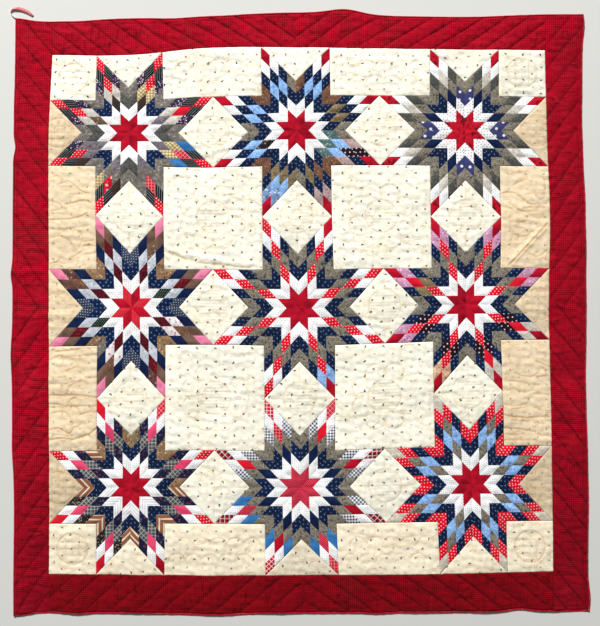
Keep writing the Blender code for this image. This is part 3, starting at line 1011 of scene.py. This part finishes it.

# Creases and drawn-up arcs in the aged side pieces and the squares: depth in mm,
# then the points they run through, in mm from the quilt's middle.
CREASES = (
    (1.2, ((-797, 426), (-774, 432), (-752, 419))),
    (1.3, ((-765, 406), (-739, 416), (-723, 406), (-701, 387), (-682, 378))),
    (1.1, ((-758, 397), (-726, 397))),
    (1.1, ((-733, 373), (-694, 373))),
    (1.4, ((-797, 352), (-774, 346), (-746, 326))),
    (2.0, ((-746, 342), (-720, 346), (-701, 352), (-682, 352), (-666, 346))),
    (1.1, ((-797, 320), (-752, 326))),
    (1.9, ((-797, 291), (-733, 294), (-701, 301), (-675, 314))),
    (1.3, ((-797, 262), (-765, 259), (-720, 266), (-675, 272))),
    (1.1, ((-797, 230), (-771, 240), (-758, 253), (-739, 262), (-720, 266))),
    (1.2, ((-720, 262), (-701, 253), (-691, 234), (-701, 208), (-710, 195))),
    (1.3, ((-797, 234), (-765, 240), (-739, 230), (-720, 208), (-714, 189))),
    (1.2, ((-765, 170), (-739, 163), (-720, 176), (-688, 195))),
    (2.0, ((-688, 208), (-669, 211), (-646, 205))),
    (1.4, ((-688, 221), (-656, 227))),
    (1.2, ((-682, 182), (-650, 186))),
    (1.4, ((-797, 150), (-774, 157), (-765, 170))),
    (2.2, ((-778, -131), (-746, -128), (-701, -122))),
    (1.2, ((-701, -122), (-682, -109), (-656, -99))),
    (1.2, ((-752, -150), (-726, -144), (-646, -141))),
    (1.1, ((-797, -157), (-771, -144), (-752, -144))),
    (1.1, ((-758, -157), (-733, -150), (-714, -163), (-704, -182))),
    (1.2, ((-746, -192), (-726, -186), (-714, -179), (-694, -186), (-688, -195))),
    (1.1, ((-797, -211), (-771, -214), (-746, -211))),
    (1.1, ((-682, -214), (-646, -214))),
    (1.2, ((-797, -234), (-746, -234), (-720, -224))),
    (1.4, ((-746, -272), (-736, -246), (-720, -230), (-694, -224), (-675, -234))),
    (2.0, ((-797, -269), (-746, -272), (-720, -269), (-682, -272), (-650, -278))),
    (1.2, ((-746, -310), (-733, -285), (-707, -272), (-682, -278))),
    (1.2, ((-797, -298), (-758, -301))),
    (1.6, ((-797, -310), (-746, -307), (-701, -304), (-650, -304))),
    (1.5, ((-758, -310), (-733, -301), (-710, -310), (-698, -330))),
    (1.4, ((-797, -330), (-771, -323), (-746, -326), (-733, -339), (-723, -362))),
    (1.5, ((-720, -374), (-707, -371), (-694, -358))),
    (1.6, ((-797, -381), (-771, -374), (-746, -387), (-733, -394), (-720, -374))),
    (1.3, ((-797, -394), (-765, -397), (-739, -400))),
    (2.1, ((-797, -413), (-752, -406), (-726, -413), (-701, -406), (-669, -394), (-646, -374))),
    (1.4, ((-694, -330), (-669, -323), (-646, -326))),
    (1.2, ((688, 403), (707, 413), (726, 422), (746, 413))),
    (1.3, ((752, 387), (762, 368), (771, 355), (787, 362))),
    (1.8, ((643, 374), (669, 381), (691, 378), (710, 365), (720, 355), (742, 342), (755, 339))),
    (1.5, ((678, 349), (685, 336), (707, 320), (733, 317), (755, 320))),
    (1.3, ((643, 336), (682, 326))),
    (1.2, ((720, 330), (752, 333), (787, 330))),
    (1.1, ((682, 285), (707, 283), (733, 288))),
    (1.4, ((675, 266), (688, 246), (707, 237), (730, 240), (749, 256))),
    (1.0, ((787, 419), (787, 387))),
    (1.4, ((720, 195), (739, 182), (762, 173), (781, 182), (794, 195))),
    (2.6, ((672, 147), (794, 278))),
    (1.2, ((758, 266), (778, 272))),
    (1.6, ((691, -198), (714, -208), (746, -211), (765, -198))),
    (1.8, ((758, -160), (778, -170), (803, -179))),
    (1.2, ((781, -182), (797, -208))),
    (1.3, ((675, -224), (707, -227), (739, -234), (771, -237))),
    (1.3, ((752, -208), (771, -211), (790, -208))),
    (1.4, ((682, -246), (701, -256), (723, -262), (746, -253))),
    (1.3, ((752, -266), (784, -266), (803, -269))),
    (1.2, ((650, -256), (675, -253))),
    (1.6, ((656, -298), (682, -304), (714, -301), (733, -294))),
    (1.2, ((682, -314), (720, -310))),
    (2.0, ((650, -330), (682, -339), (726, -342), (771, -339), (803, -339))),
    (1.4, ((758, -310), (778, -320), (797, -326))),
    (1.2, ((682, -349), (720, -352))),
    (1.3, ((752, -358), (784, -362))),
    (1.6, ((650, -374), (707, -378), (739, -384), (758, -387))),
    (1.5, ((765, -394), (778, -400), (797, -397))),
    (1.3, ((650, -394), (688, -397), (720, -394))),
    (1.3, ((656, -413), (707, -413), (758, -413))),
    (1.2, ((707, -435), (771, -432))),
    (1.8, ((-435, 202), (-371, 170), (-314, 154), (-266, 147), (-157, 138))),
    (1.4, ((-432, 179), (-416, 157))),
    (1.2, ((-157, 355), (-122, 336))),
    (1.1, ((-397, 432), (-371, 426))),
    (1.2, ((-195, 435), (-166, 426), (-157, 413))),
    (1.2, ((-294, 352), (-256, 336), (-224, 346))),
    (1.1, ((-330, 310), (-240, 307))),
    (1.2, ((-240, 368), (-205, 374))),
    (1.0, ((-214, 304), (-170, 285), (-138, 259))),
    (1.8, ((-432, 192), (-357, 162), (-317, 153), (-214, 146))),
)
CREASE_HALF_WIDTH = 2.6 * MM
for depth, points in CREASES:
    for (x, y), (end_x, end_y) in zip(points, points[1:]):
        furrows.append(((straight(x, y, end_x, end_y) * MM).tolist(), depth * MM, CREASE_HALF_WIDTH))

# Short puckers pulled by the stitches across the aged side pieces, level and uneven: their step and
# how far they stray from it in blocks, then their half length, slant and depth in millimetres.
SIDE_PUCKERS = 20
PUCKER_STEP = 0.045
PUCKER_STRAY = 0.012
PUCKER_HALF = (8, 22)
PUCKER_SLANT = 5
PUCKER_DEPTH = (0.4, 0.8)
chance = np.random.default_rng(21)
for side_u in (-1, 1):
    for level in range(-SIDE_PUCKERS, SIDE_PUCKERS + 1):
        u = side_u * (HALF_PANEL - STAR_ARM * chance.uniform(0.2, 0.8))
        v = level * PUCKER_STEP + chance.uniform(-PUCKER_STRAY, PUCKER_STRAY)
        x, y = lie(np.array([u]), np.array([v]))
        x, y = x[0] / MM, y[0] / MM
        half = chance.uniform(*PUCKER_HALF)
        line = straight(x - half, y, x + half, y + chance.uniform(-PUCKER_SLANT, PUCKER_SLANT)) * MM
        furrows.append((line.tolist(), chance.uniform(*PUCKER_DEPTH) * MM, CREASE_HALF_WIDTH))


def declare(piece, flat, slot, *nodes, area=None):
    """Every piece is one laid sheet that rides with the quilt."""
    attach(piece, "root")
    if nodes:
        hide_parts(*nodes)


chance = np.random.default_rng(5)
star_area = POINTS * STAR_ARM**2 * math.sqrt(0.5) * BLOCK_ACROSS * BLOCK_ALONG
for number, charts in enumerate(STARS):
    centre = np.array([number % 3 - 1, 1 - number // 3], float)
    star = sew(f"star_{number + 1}", star_patches(centre, charts, chance), scraps + [back_cloth])
    declare(star, (BLOCK_ACROSS, BLOCK_ALONG), "pieced_cotton", area=star_area)

ARMS = {
    "cream_squares": (2, 8, 1),
    "cream_on_point": (1, 12, 1),
    "cream_rectangles": (2, 4, 1),
    "cream_corners": (1, 4, 1),
    "cream_triangles": (1, 6, 0.5),
    "tan_rectangles": (2, 4, 1),
    "tan_triangles": (1, 6, 0.5),
}
for name, patches in GROUND.items():
    wide, long, share = ARMS[name]
    cloths = [tan_cloth] if name.startswith("tan") else [cream_cloth, aged_cream_cloth]
    piece = sew(name, patches, cloths + [back_cloth])
    flat = (wide * ARM_LENGTH, long * ARM_LENGTH)
    declare(piece, flat, "pieced_cotton", area=share * flat[0] * flat[1])
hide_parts("centre_panel")


# The red border: four strips of a pin-checked cotton sewn round the panel, the side strips full
# length. They are quilted to the back in slanting lines that lean away from the strip's middle, and
# the cloth puckers across them. The bottom strip is a deeper red: partly a deeper dye lot, partly
# painted shade for the light that falls off toward the bottom.
BORDER_PUFF = 2.4 * MM
BORDER_ALONG_CELLS = 700
BORDER_ACROSS_CELLS = 44
BORDER_LINE_HALF_WIDTH = 2.8 * MM
BORDER_PULL = (0.75, 1.1)
PILLOW_POWER = 2.2
MIDDLE_BLEND = 0.05
EDGE_ROW = BORDER_EDGE - 0.022
EDGE_ROW_DEPTH = 0.7 * MM
EDGE_ROW_HALF_WIDTH = 2.2 * MM
CHECK = 6.0

# The border is painted darker toward its lower end, shade for the light that falls off there: between these
# heights in metres, by these shares.
LOWER_END_SHADE = (-0.95, -0.15, 0.74, 1.0)

# The slanting lines of each half strip: side, half, where the first line leaves the seam, from the
# strip's middle, the pitch from line to line, both in blocks, the blocks it runs along for each one
# out, and how deep it is drawn in, in millimetres.
BORDER_LINES = (
    ("left", 1, 0.089, 0.158, 1.20, 1.6),
    ("left", -1, 0.067, 0.154, 1.25, 1.1),
    ("right", 1, 0.025, 0.150, 1.25, 0.9),
    ("right", -1, 0.100, 0.152, 1.15, 1.6),
    ("top", 1, 0.058, 0.150, 1.40, 1.2),
    ("top", -1, 0.073, 0.150, 1.35, 1.8),
    ("bottom", 1, 0.116, 0.154, 1.40, 1.6),
    ("bottom", -1, 0.109, 0.154, 1.15, 1.0),
)
border_line_paths = []


def strip_place(side, along, out):
    """The place on the plan so far along a strip from its middle and so far out from the quilt's middle."""
    out_u, out_v = OUTWARD[side]
    return along * abs(out_v) + out * out_u, along * abs(out_u) + out * out_v


def press(side, along, out, depth, half_width):
    """Presses a furrow into a strip, through places given in blocks along it and out from the middle."""
    x, y = lie(*strip_place(side, along, out))
    path = np.stack([x, y], axis=-1)
    furrows.append((path.tolist(), depth, half_width))
    return path


for side, half, first, pitch, slope, drawn in BORDER_LINES:
    reach = BORDER_EDGE if side in ("left", "right") else HALF_PANEL
    count = int((reach + slope * (BORDER_EDGE - HALF_PANEL) - first) / pitch)
    for number in range(-2, count + 1):
        out = np.linspace(HALF_PANEL, BORDER_EDGE, 60)
        along = first + number * pitch + slope * (out - HALF_PANEL)
        on_strip = (along > 0) & (along < reach)
        if on_strip.sum() > 4:
            depth = drawn * pull.uniform(*BORDER_PULL) * MM
            path = press(side, half * along[on_strip], out[on_strip], depth, BORDER_LINE_HALF_WIDTH)
            border_line_paths.append(path)

# Short puckers across the strips, closest where the side strips were drawn up most: side, first and
# last place along the strip in blocks, how many, shortest and longest in blocks, depth in mm.
BORDER_PUCKERS = (
    ("left", -1.65, -0.2, 44, 0.05, 0.15, 1.1),
    ("left", -0.2, 1.65, 34, 0.04, 0.12, 0.8),
    ("right", -1.65, 0.2, 36, 0.04, 0.13, 0.8),
    ("right", 0.2, 1.65, 34, 0.04, 0.12, 0.8),
    ("top", -1.5, -0.9, 16, 0.04, 0.10, 0.9),
    ("top", -0.9, 1.5, 26, 0.03, 0.09, 0.7),
    ("bottom", -1.5, 1.5, 44, 0.03, 0.09, 0.8),
)
chance = np.random.default_rng(17)
for side, low_end, high_end, count, shortest, longest, depth in BORDER_PUCKERS:
    for step in range(count):
        at = low_end + (high_end - low_end) * (step + chance.uniform(0, 1)) / count
        length = chance.uniform(shortest, longest)
        inner = chance.uniform(HALF_PANEL, BORDER_EDGE - length)
        out = np.linspace(inner, inner + length, 24)
        along = at + chance.uniform(-0.25, 0.25) * (out - inner)
        press(side, along, out, depth * chance.uniform(0.6, 1.2) * MM, BORDER_LINE_HALF_WIDTH)

# A row of stitches near the binding holds the edge of the strips.
for side in OUTWARD:
    along = np.linspace(-BORDER_EDGE, BORDER_EDGE, 900)
    row = press(side, along, np.full_like(along, EDGE_ROW), EDGE_ROW_DEPTH, EDGE_ROW_HALF_WIDTH)
    border_line_paths.append(row)


def pillow(along, out, first, pitch, slope):
    """How far the cloth rises between the slanting lines, from 0 to 1."""
    turns = (along - first - slope * (out - HALF_PANEL)) / pitch
    return 1 - np.abs(2 * np.abs(turns - np.round(turns)) - 1) ** PILLOW_POWER


def strip_cells(upright, across, along):
    """How many cells a strip has, level and up."""
    return (across, along) if upright else (along, across)


def border_patch(side, low_u, low_v, high_u, high_v, tone):
    """One strip, whose crown falls to its slanting lines, its seam and the binding."""
    upright = high_v - low_v > high_u - low_u
    cells = strip_cells(upright, BORDER_ACROSS_CELLS, BORDER_ALONG_CELLS)
    halves = {half: row[:-1] for name, half, *row in BORDER_LINES if name == side}

    def puff(s, t):
        u, v = low_u + s * (high_u - low_u), low_v + t * (high_v - low_v)
        along, out = (v, np.abs(u)) if upright else (u, np.abs(v))
        share = np.clip(along / MIDDLE_BLEND + 0.5, 0, 1)
        risen = share * pillow(along, out, *halves[1]) + (1 - share) * pillow(-along, out, *halves[-1])
        from_seam, from_binding = (out - HALF_PANEL) * BLOCK_ACROSS, (BORDER_EDGE - out) * BLOCK_ACROSS
        rolled = 1 - np.exp(-np.maximum(from_seam, 0) / ROLL)
        rolled = rolled * (1 - np.exp(-np.maximum(from_binding, 0) / ROLL))
        return BORDER_PUFF * risen * rolled

    sides = (high_u - low_u, 0), (0, high_v - low_v)
    return block_patch(np.array([low_u, low_v]), *sides, *cells, puff, tone=tone)


def pin_check(name, light, dark, fade):
    """Red cotton with a fine woven check, faded in clouds, and painted shade that darkens it toward the
    quilt's lower end.
    """
    cotton = Cotton(name)
    colour = gingham(cotton, light, dark, None, CHECK)
    clouds = cotton.ramp(cotton.noise(90, 4.0), 0.5, 0.75, 0.0, 0.35)
    colour = cotton.mix(clouds, colour, fade)
    # Painted shade: the colour darkens toward the quilt's lower end, where the light falls off.
    height = cotton.node("SeparateXYZ", cotton.node("TexCoord").outputs["Object"]).outputs[1]
    colour = cotton.vector("SCALE", colour, scale=cotton.ramp(height, *LOWER_END_SHADE))
    return cotton.finish(colour, mottle=0.18, furrow_shade=0.60, pucker=0.5, crinkle=0.40)


red_cloth = pin_check("pin_check_red", dye(200, 9, 38), dye(121, 1, 22), dye(202, 25, 47))
deep_red_cloth = pin_check("pin_check_deep_red", dye(180, 5, 25), dye(104, 0, 14), dye(174, 9, 27))
# The right strip's tone of 0.88 darkens it: painted shade for the light that falls off toward the right.
BORDERS = {
    "left": (-BORDER_EDGE, -BORDER_EDGE, -HALF_PANEL, BORDER_EDGE, 1.0, red_cloth),
    "right": (HALF_PANEL, -BORDER_EDGE, BORDER_EDGE, BORDER_EDGE, 0.88, red_cloth),
    "top": (-HALF_PANEL, HALF_PANEL, HALF_PANEL, BORDER_EDGE, 1.0, red_cloth),
    "bottom": (-HALF_PANEL, -BORDER_EDGE, HALF_PANEL, -HALF_PANEL, 1.0, deep_red_cloth),
}
for side, (low_u, low_v, high_u, high_v, tone, cloth) in BORDERS.items():
    patch = border_patch(side, low_u, low_v, high_u, high_v, tone)
    piece = sew(f"red_border_{side}", [patch], [cloth, back_cloth])
    flat = ((high_u - low_u) * BLOCK_ACROSS, (high_v - low_v) * BLOCK_ALONG)
    declare(piece, flat, "border_cotton", f"border_{side}")


# The binding: a narrow strip of red cotton folded over the raw edges and sewn down all round.
# It is rubbed pale along its fold.
BINDING_HEIGHT = 4.8 * MM
BINDING_SETTLE = 0.6
BINDING_FALL = 0.62
BINDING_POWER = 2.5
BINDING_ALONG_CELLS = 420
BINDING_ACROSS_CELLS = 8


def binding_patch(low_u, low_v, high_u, high_v):
    """One folded strip, round over the quilt's edge."""
    upright = high_v - low_v > high_u - low_u
    cells = strip_cells(upright, BINDING_ACROSS_CELLS, BINDING_ALONG_CELLS)

    def puff(s, t):
        across = s if upright else t
        round_fold = 1 - BINDING_FALL * np.abs(2 * across - 1) ** BINDING_POWER
        return BINDING_HEIGHT * round_fold - SEAM_HEIGHT * BINDING_SETTLE

    return block_patch(np.array([low_u, low_v]), (high_u - low_u, 0), (0, high_v - low_v), *cells, puff)


def binding_cotton():
    """The border's red cotton, rubbed pale."""
    cotton = Cotton("binding_red")
    worn = cotton.ramp(cotton.noise(14, 4.0), 0.52, 0.72, 0.0, 0.6)
    colour = gingham(cotton, dye(196, 24, 46), dye(152, 12, 34), None, CHECK)
    return cotton.finish(cotton.mix(worn, colour, dye(190, 70, 80)), mottle=0.14)


binding_cloth = binding_cotton()
BINDINGS = {
    "left": (-EDGE, -EDGE, -BORDER_EDGE, EDGE),
    "right": (BORDER_EDGE, -EDGE, EDGE, EDGE),
    "top": (-BORDER_EDGE, BORDER_EDGE, BORDER_EDGE, EDGE),
    "bottom": (-BORDER_EDGE, -EDGE, BORDER_EDGE, -BORDER_EDGE),
}
for side, (low_u, low_v, high_u, high_v) in BINDINGS.items():
    patch = binding_patch(low_u, low_v, high_u, high_v)
    piece = sew(f"red_binding_{side}", [patch], [binding_cloth, binding_cloth], settle=BINDING_SETTLE)
    length = max((high_u - low_u) * BLOCK_ACROSS, (high_v - low_v) * BLOCK_ALONG)
    declare(piece, (2 * BINDING_WIDTH, length), "binding_cotton", f"binding_{side}")


# The quilting stitches: cotton thread, cream on the ground and red on the border, in small running
# stitches that sink a little into the cloth along each quilted line.
STITCH_PITCH = 6.4 * MM
STITCH_SIZE = (3.4 * MM, 0.8 * MM, 0.5 * MM)
STITCH_UNEVEN = (0.75, 1.2)
UPWARD = 0.3
ABOVE = 0.1


def surface(pieces):
    """The cloth's upper surface, to be found from above."""
    points, faces = [], []
    for piece in pieces:
        start = len(points)
        points += [corner.co[:] for corner in piece.data.vertices]
        upper = [face.vertices for face in piece.data.polygons if face.normal.z > UPWARD]
        faces += [[start + index for index in corners] for corners in upper]
    return BVHTree.FromPolygons(points, faces)


def stitch_tree():
    """Small pointed stitches at an even pitch along the paths, each turned along its path."""
    tree = bpy.data.node_groups.new("running_stitches", "GeometryNodeTree")
    tree.interface.new_socket("Paths", in_out="INPUT", socket_type="NodeSocketGeometry")
    for name, kind in (("Pitch", "Float"), ("Stitch size", "Vector"), ("Thread", "Material")):
        tree.interface.new_socket(name, in_out="INPUT", socket_type=f"NodeSocket{kind}")
    tree.interface.new_socket("Stitches", in_out="OUTPUT", socket_type="NodeSocketGeometry")

    def node(kind, **settings):
        made = tree.nodes.new(kind)
        for key, value in settings.items():
            setattr(made, key, value)
        return made

    asked = node("NodeGroupInput").outputs
    curve = node("GeometryNodeMeshToCurve")
    even = node("GeometryNodeResampleCurve", mode="LENGTH")
    bead = node("GeometryNodeMeshUVSphere")
    bead.inputs["Segments"].default_value = 4
    bead.inputs["Rings"].default_value = 2
    bead.inputs["Radius"].default_value = 0.5
    uneven = node("FunctionNodeRandomValue", data_type="FLOAT")
    uneven.inputs[2].default_value, uneven.inputs[3].default_value = STITCH_UNEVEN
    uneven.inputs["Seed"].default_value = 4
    sized = node("ShaderNodeVectorMath", operation="SCALE")
    facing = node("FunctionNodeAlignRotationToVector", axis="X")
    placed = node("GeometryNodeInstanceOnPoints")
    real = node("GeometryNodeRealizeInstances")
    dyed = node("GeometryNodeSetMaterial")
    result = node("NodeGroupOutput")
    for source, target in (
        (asked["Paths"], curve.inputs["Mesh"]),
        (curve.outputs["Curve"], even.inputs["Curve"]),
        (asked["Pitch"], even.inputs["Length"]),
        (node("GeometryNodeInputTangent").outputs["Tangent"], facing.inputs["Vector"]),
        (asked["Stitch size"], sized.inputs[0]),
        (uneven.outputs[1], sized.inputs["Scale"]),
        (even.outputs["Curve"], placed.inputs["Points"]),
        (bead.outputs["Mesh"], placed.inputs["Instance"]),
        (facing.outputs["Rotation"], placed.inputs["Rotation"]),
        (sized.outputs[0], placed.inputs["Scale"]),
        (placed.outputs["Instances"], real.inputs["Geometry"]),
        (real.outputs["Geometry"], dyed.inputs["Geometry"]),
        (asked["Thread"], dyed.inputs["Material"]),
        (dyed.outputs["Geometry"], result.inputs["Stitches"]),
    ):
        tree.links.new(source, target)
    return tree


def thread_cotton(name, light, dark):
    """Quilting thread, shaded by its twist."""
    cotton = Cotton(name, by_place=True)
    cotton.feed(cotton.shader.inputs["Base Color"], cotton.mix(cotton.noise(1.2, 2.0), light, dark))
    cotton.weave(0.1)
    return cotton.material


def real_mesh(thing):
    """The mesh that an object's modifiers or curve give."""
    return bpy.data.meshes.new_from_object(thing.evaluated_get(bpy.context.evaluated_depsgraph_get()))


def stitch(name, paths, ground, tree, thread):
    """Sews running stitches along the paths, on the cloth that lies under them."""
    points, edges = [], []
    for path in paths:
        last = None
        for x, y in path.tolist():
            found = ground.ray_cast(Vector((x, y, ABOVE)), Vector((0, 0, -1)))[0]
            if found is None:
                last = None
                continue
            points.append((x, y, found.z))
            if last is not None:
                edges.append((last, len(points) - 1))
            last = len(points) - 1
    lines = bpy.data.meshes.new(f"{name}_paths")
    lines.from_pydata(points, edges, [])
    piece = put(name, lines)
    sewing = piece.modifiers.new("sewing", "NODES")
    sewing.node_group = tree
    values = {"Pitch": STITCH_PITCH, "Stitch size": STITCH_SIZE, "Thread": thread}
    for socket in tree.interface.items_tree:
        if socket.name in values:
            sewing[socket.identifier] = values[socket.name]
    real = real_mesh(piece)
    piece.modifiers.clear()
    piece.data = real
    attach(piece, "root")


def sewn(*names):
    """The cloth pieces whose names start so."""
    return [thing for thing in bpy.data.objects if thing.name.startswith(names) and thing.type == "MESH"]


running = stitch_tree()
cream_thread = thread_cotton("cream_thread", dye(250, 244, 226), dye(226, 214, 188))
red_thread = thread_cotton("red_thread", dye(170, 20, 40), dye(120, 8, 24))
ground_cloth, border_cloth = surface(sewn("cream_", "tan_")), surface(sewn("red_border"))
stitch("ground_stitches", quilt_lines, ground_cloth, running, cream_thread)
stitch("border_stitches", border_line_paths, border_cloth, running, red_thread)


# The loose end of binding: at the top left corner a strip has come off. It leaves the corner on
# edge, turns back over itself and lies flat, faded pink with a white frayed edge.
STRIP_THICK = 1.2 * MM
STRIP_CUT_WIDTH = 11.5 * MM

# In millimetres: the size of its streaks, how far above the corner its bleaching ends, and how far
# out to the left of the corner it begins
STREAK = 3.0
BLEACH_UP = (22, 29)
BLEACH_OUT = (-4, 2)

# From the top left corner: x, y and height of the strip's middle in mm, its roll in degrees (0 on
# edge, 90 flat) and its width in mm.
STRIP_ROUTE = (
    (0.1, 0.55, 3.1, 0, 5),
    (-10, 9, 3.1, 0, 5),
    (-16.5, 16, 3.1, 5, 5),
    (-14, 25, 3.2, 20, 5.5),
    (-6, 31, 3.7, 45, 8),
    (8, 32, 3.0, 70, 11),
    (27, 27, 1.9, 84, 12),
    (45, 17, 1.5, 86, 11),
    (57, 7, 1.2, 90, 6),
)

corner_x, corner_y = lie(np.array([-EDGE]), np.array([EDGE]))
route = bpy.data.curves.new("loose_strip", "CURVE")
route.dimensions = "3D"
route.twist_mode = "Z_UP"
spline = route.splines.new("NURBS")
spline.points.add(len(STRIP_ROUTE) - 1)
for point, (x, y, z, roll, width) in zip(spline.points, STRIP_ROUTE):
    point.co = (corner_x[0] + x * MM, corner_y[0] + y * MM, z * MM, 1)
    point.tilt = math.radians(roll)
    point.radius = width * MM
spline.order_u = 4
spline.use_endpoint_u = True
route.resolution_u = 14
route.extrude = 0.5
strip_curve = put("loose_strip_route", route)
bpy.context.view_layer.update()
strip_mesh = real_mesh(strip_curve)
bpy.data.objects.remove(strip_curve)
strip_mesh.name = "loose_strip"
loose_strip = put("loose_strip", strip_mesh)
wall = loose_strip.modifiers.new("cloth", "SOLIDIFY")
wall.thickness = STRIP_THICK
wall.offset = 0
wall.use_even_offset = False


def faded_binding():
    """Binding cotton washed out to pink, nearly white at its frayed edge."""
    cotton = Cotton("faded_binding", by_place=True)
    streaks = cotton.ramp(cotton.noise(STREAK, 3.0), 0.40, 0.65)
    pink = cotton.mix(streaks, dye(196, 84, 92), dye(226, 160, 160))
    from_corner = cotton.minus(cotton.y, corner_y[0] / MM)
    outside = cotton.minus(corner_x[0] / MM, cotton.x)
    below_turn = cotton.ramp(from_corner, *BLEACH_UP, 1.0, 0.0)
    bleached = cotton.times(below_turn, cotton.ramp(outside, *BLEACH_OUT))
    cotton.feed(cotton.shader.inputs["Base Color"], cotton.mix(bleached, pink, dye(246, 238, 232)))
    cotton.weave(0.25)
    return cotton.material


strip_mesh.materials.append(faded_binding())
solid_strip = real_mesh(loose_strip)
loose_strip.modifiers.clear()
loose_strip.data = solid_strip
route_points = np.array([row[:3] for row in STRIP_ROUTE])
strip_length = np.linalg.norm(np.diff(route_points, axis=0), axis=1).sum() * MM
mean_width = sum(row[4] for row in STRIP_ROUTE) / len(STRIP_ROUTE) * MM
flat = (STRIP_CUT_WIDTH, strip_length)
declare(loose_strip, flat, "worn_binding_cotton", "loose_binding", area=mean_width * strip_length)


# The floor and the lights: a plain pale floor under the quilt, and soft studio light from the upper
# left, low enough for the quilting to show.
FLOOR_HALF = 12
FLOOR_DROP = 0.5 * MM
FLOOR_ROUGHNESS = 0.9
KEY_PLACE = (-4.2, 11.4, 9.0)
KEY_SIZE = 2.2
KEY_POWER = 3420
WORLD_COLOUR = (1.0, 0.98, 0.95, 1)
WORLD_STRENGTH = 0.145

floor_mesh = bpy.data.meshes.new("floor")
corners = [(x * FLOOR_HALF, y * FLOOR_HALF, 0) for x, y in ((-1, -1), (1, -1), (1, 1), (-1, 1))]
floor_mesh.from_pydata(corners, [], [(0, 1, 2, 3)])
floor = put("floor", floor_mesh)
floor.location.z = -FLOOR_DROP
floor_material = bpy.data.materials.new("pale_floor")
floor_material.use_nodes = True
floor_shader = floor_material.node_tree.nodes["Principled BSDF"]
floor_shader.inputs["Base Color"].default_value = dye(214, 214, 210)
floor_shader.inputs["Roughness"].default_value = FLOOR_ROUGHNESS
floor_mesh.materials.append(floor_material)

key_data = bpy.data.lights.new("key", "AREA")
key_data.size = KEY_SIZE
key_data.energy = KEY_POWER
key = put("key", key_data)
key.location = KEY_PLACE
key.rotation_mode = "QUATERNION"
key.rotation_quaternion = (-Vector(KEY_PLACE)).to_track_quat("-Z", "Y")

world = bpy.data.worlds.new("studio")
world.use_nodes = True
backdrop = world.node_tree.nodes["Background"]
backdrop.inputs["Color"].default_value = WORLD_COLOUR
backdrop.inputs["Strength"].default_value = WORLD_STRENGTH
bpy.context.scene.world = world
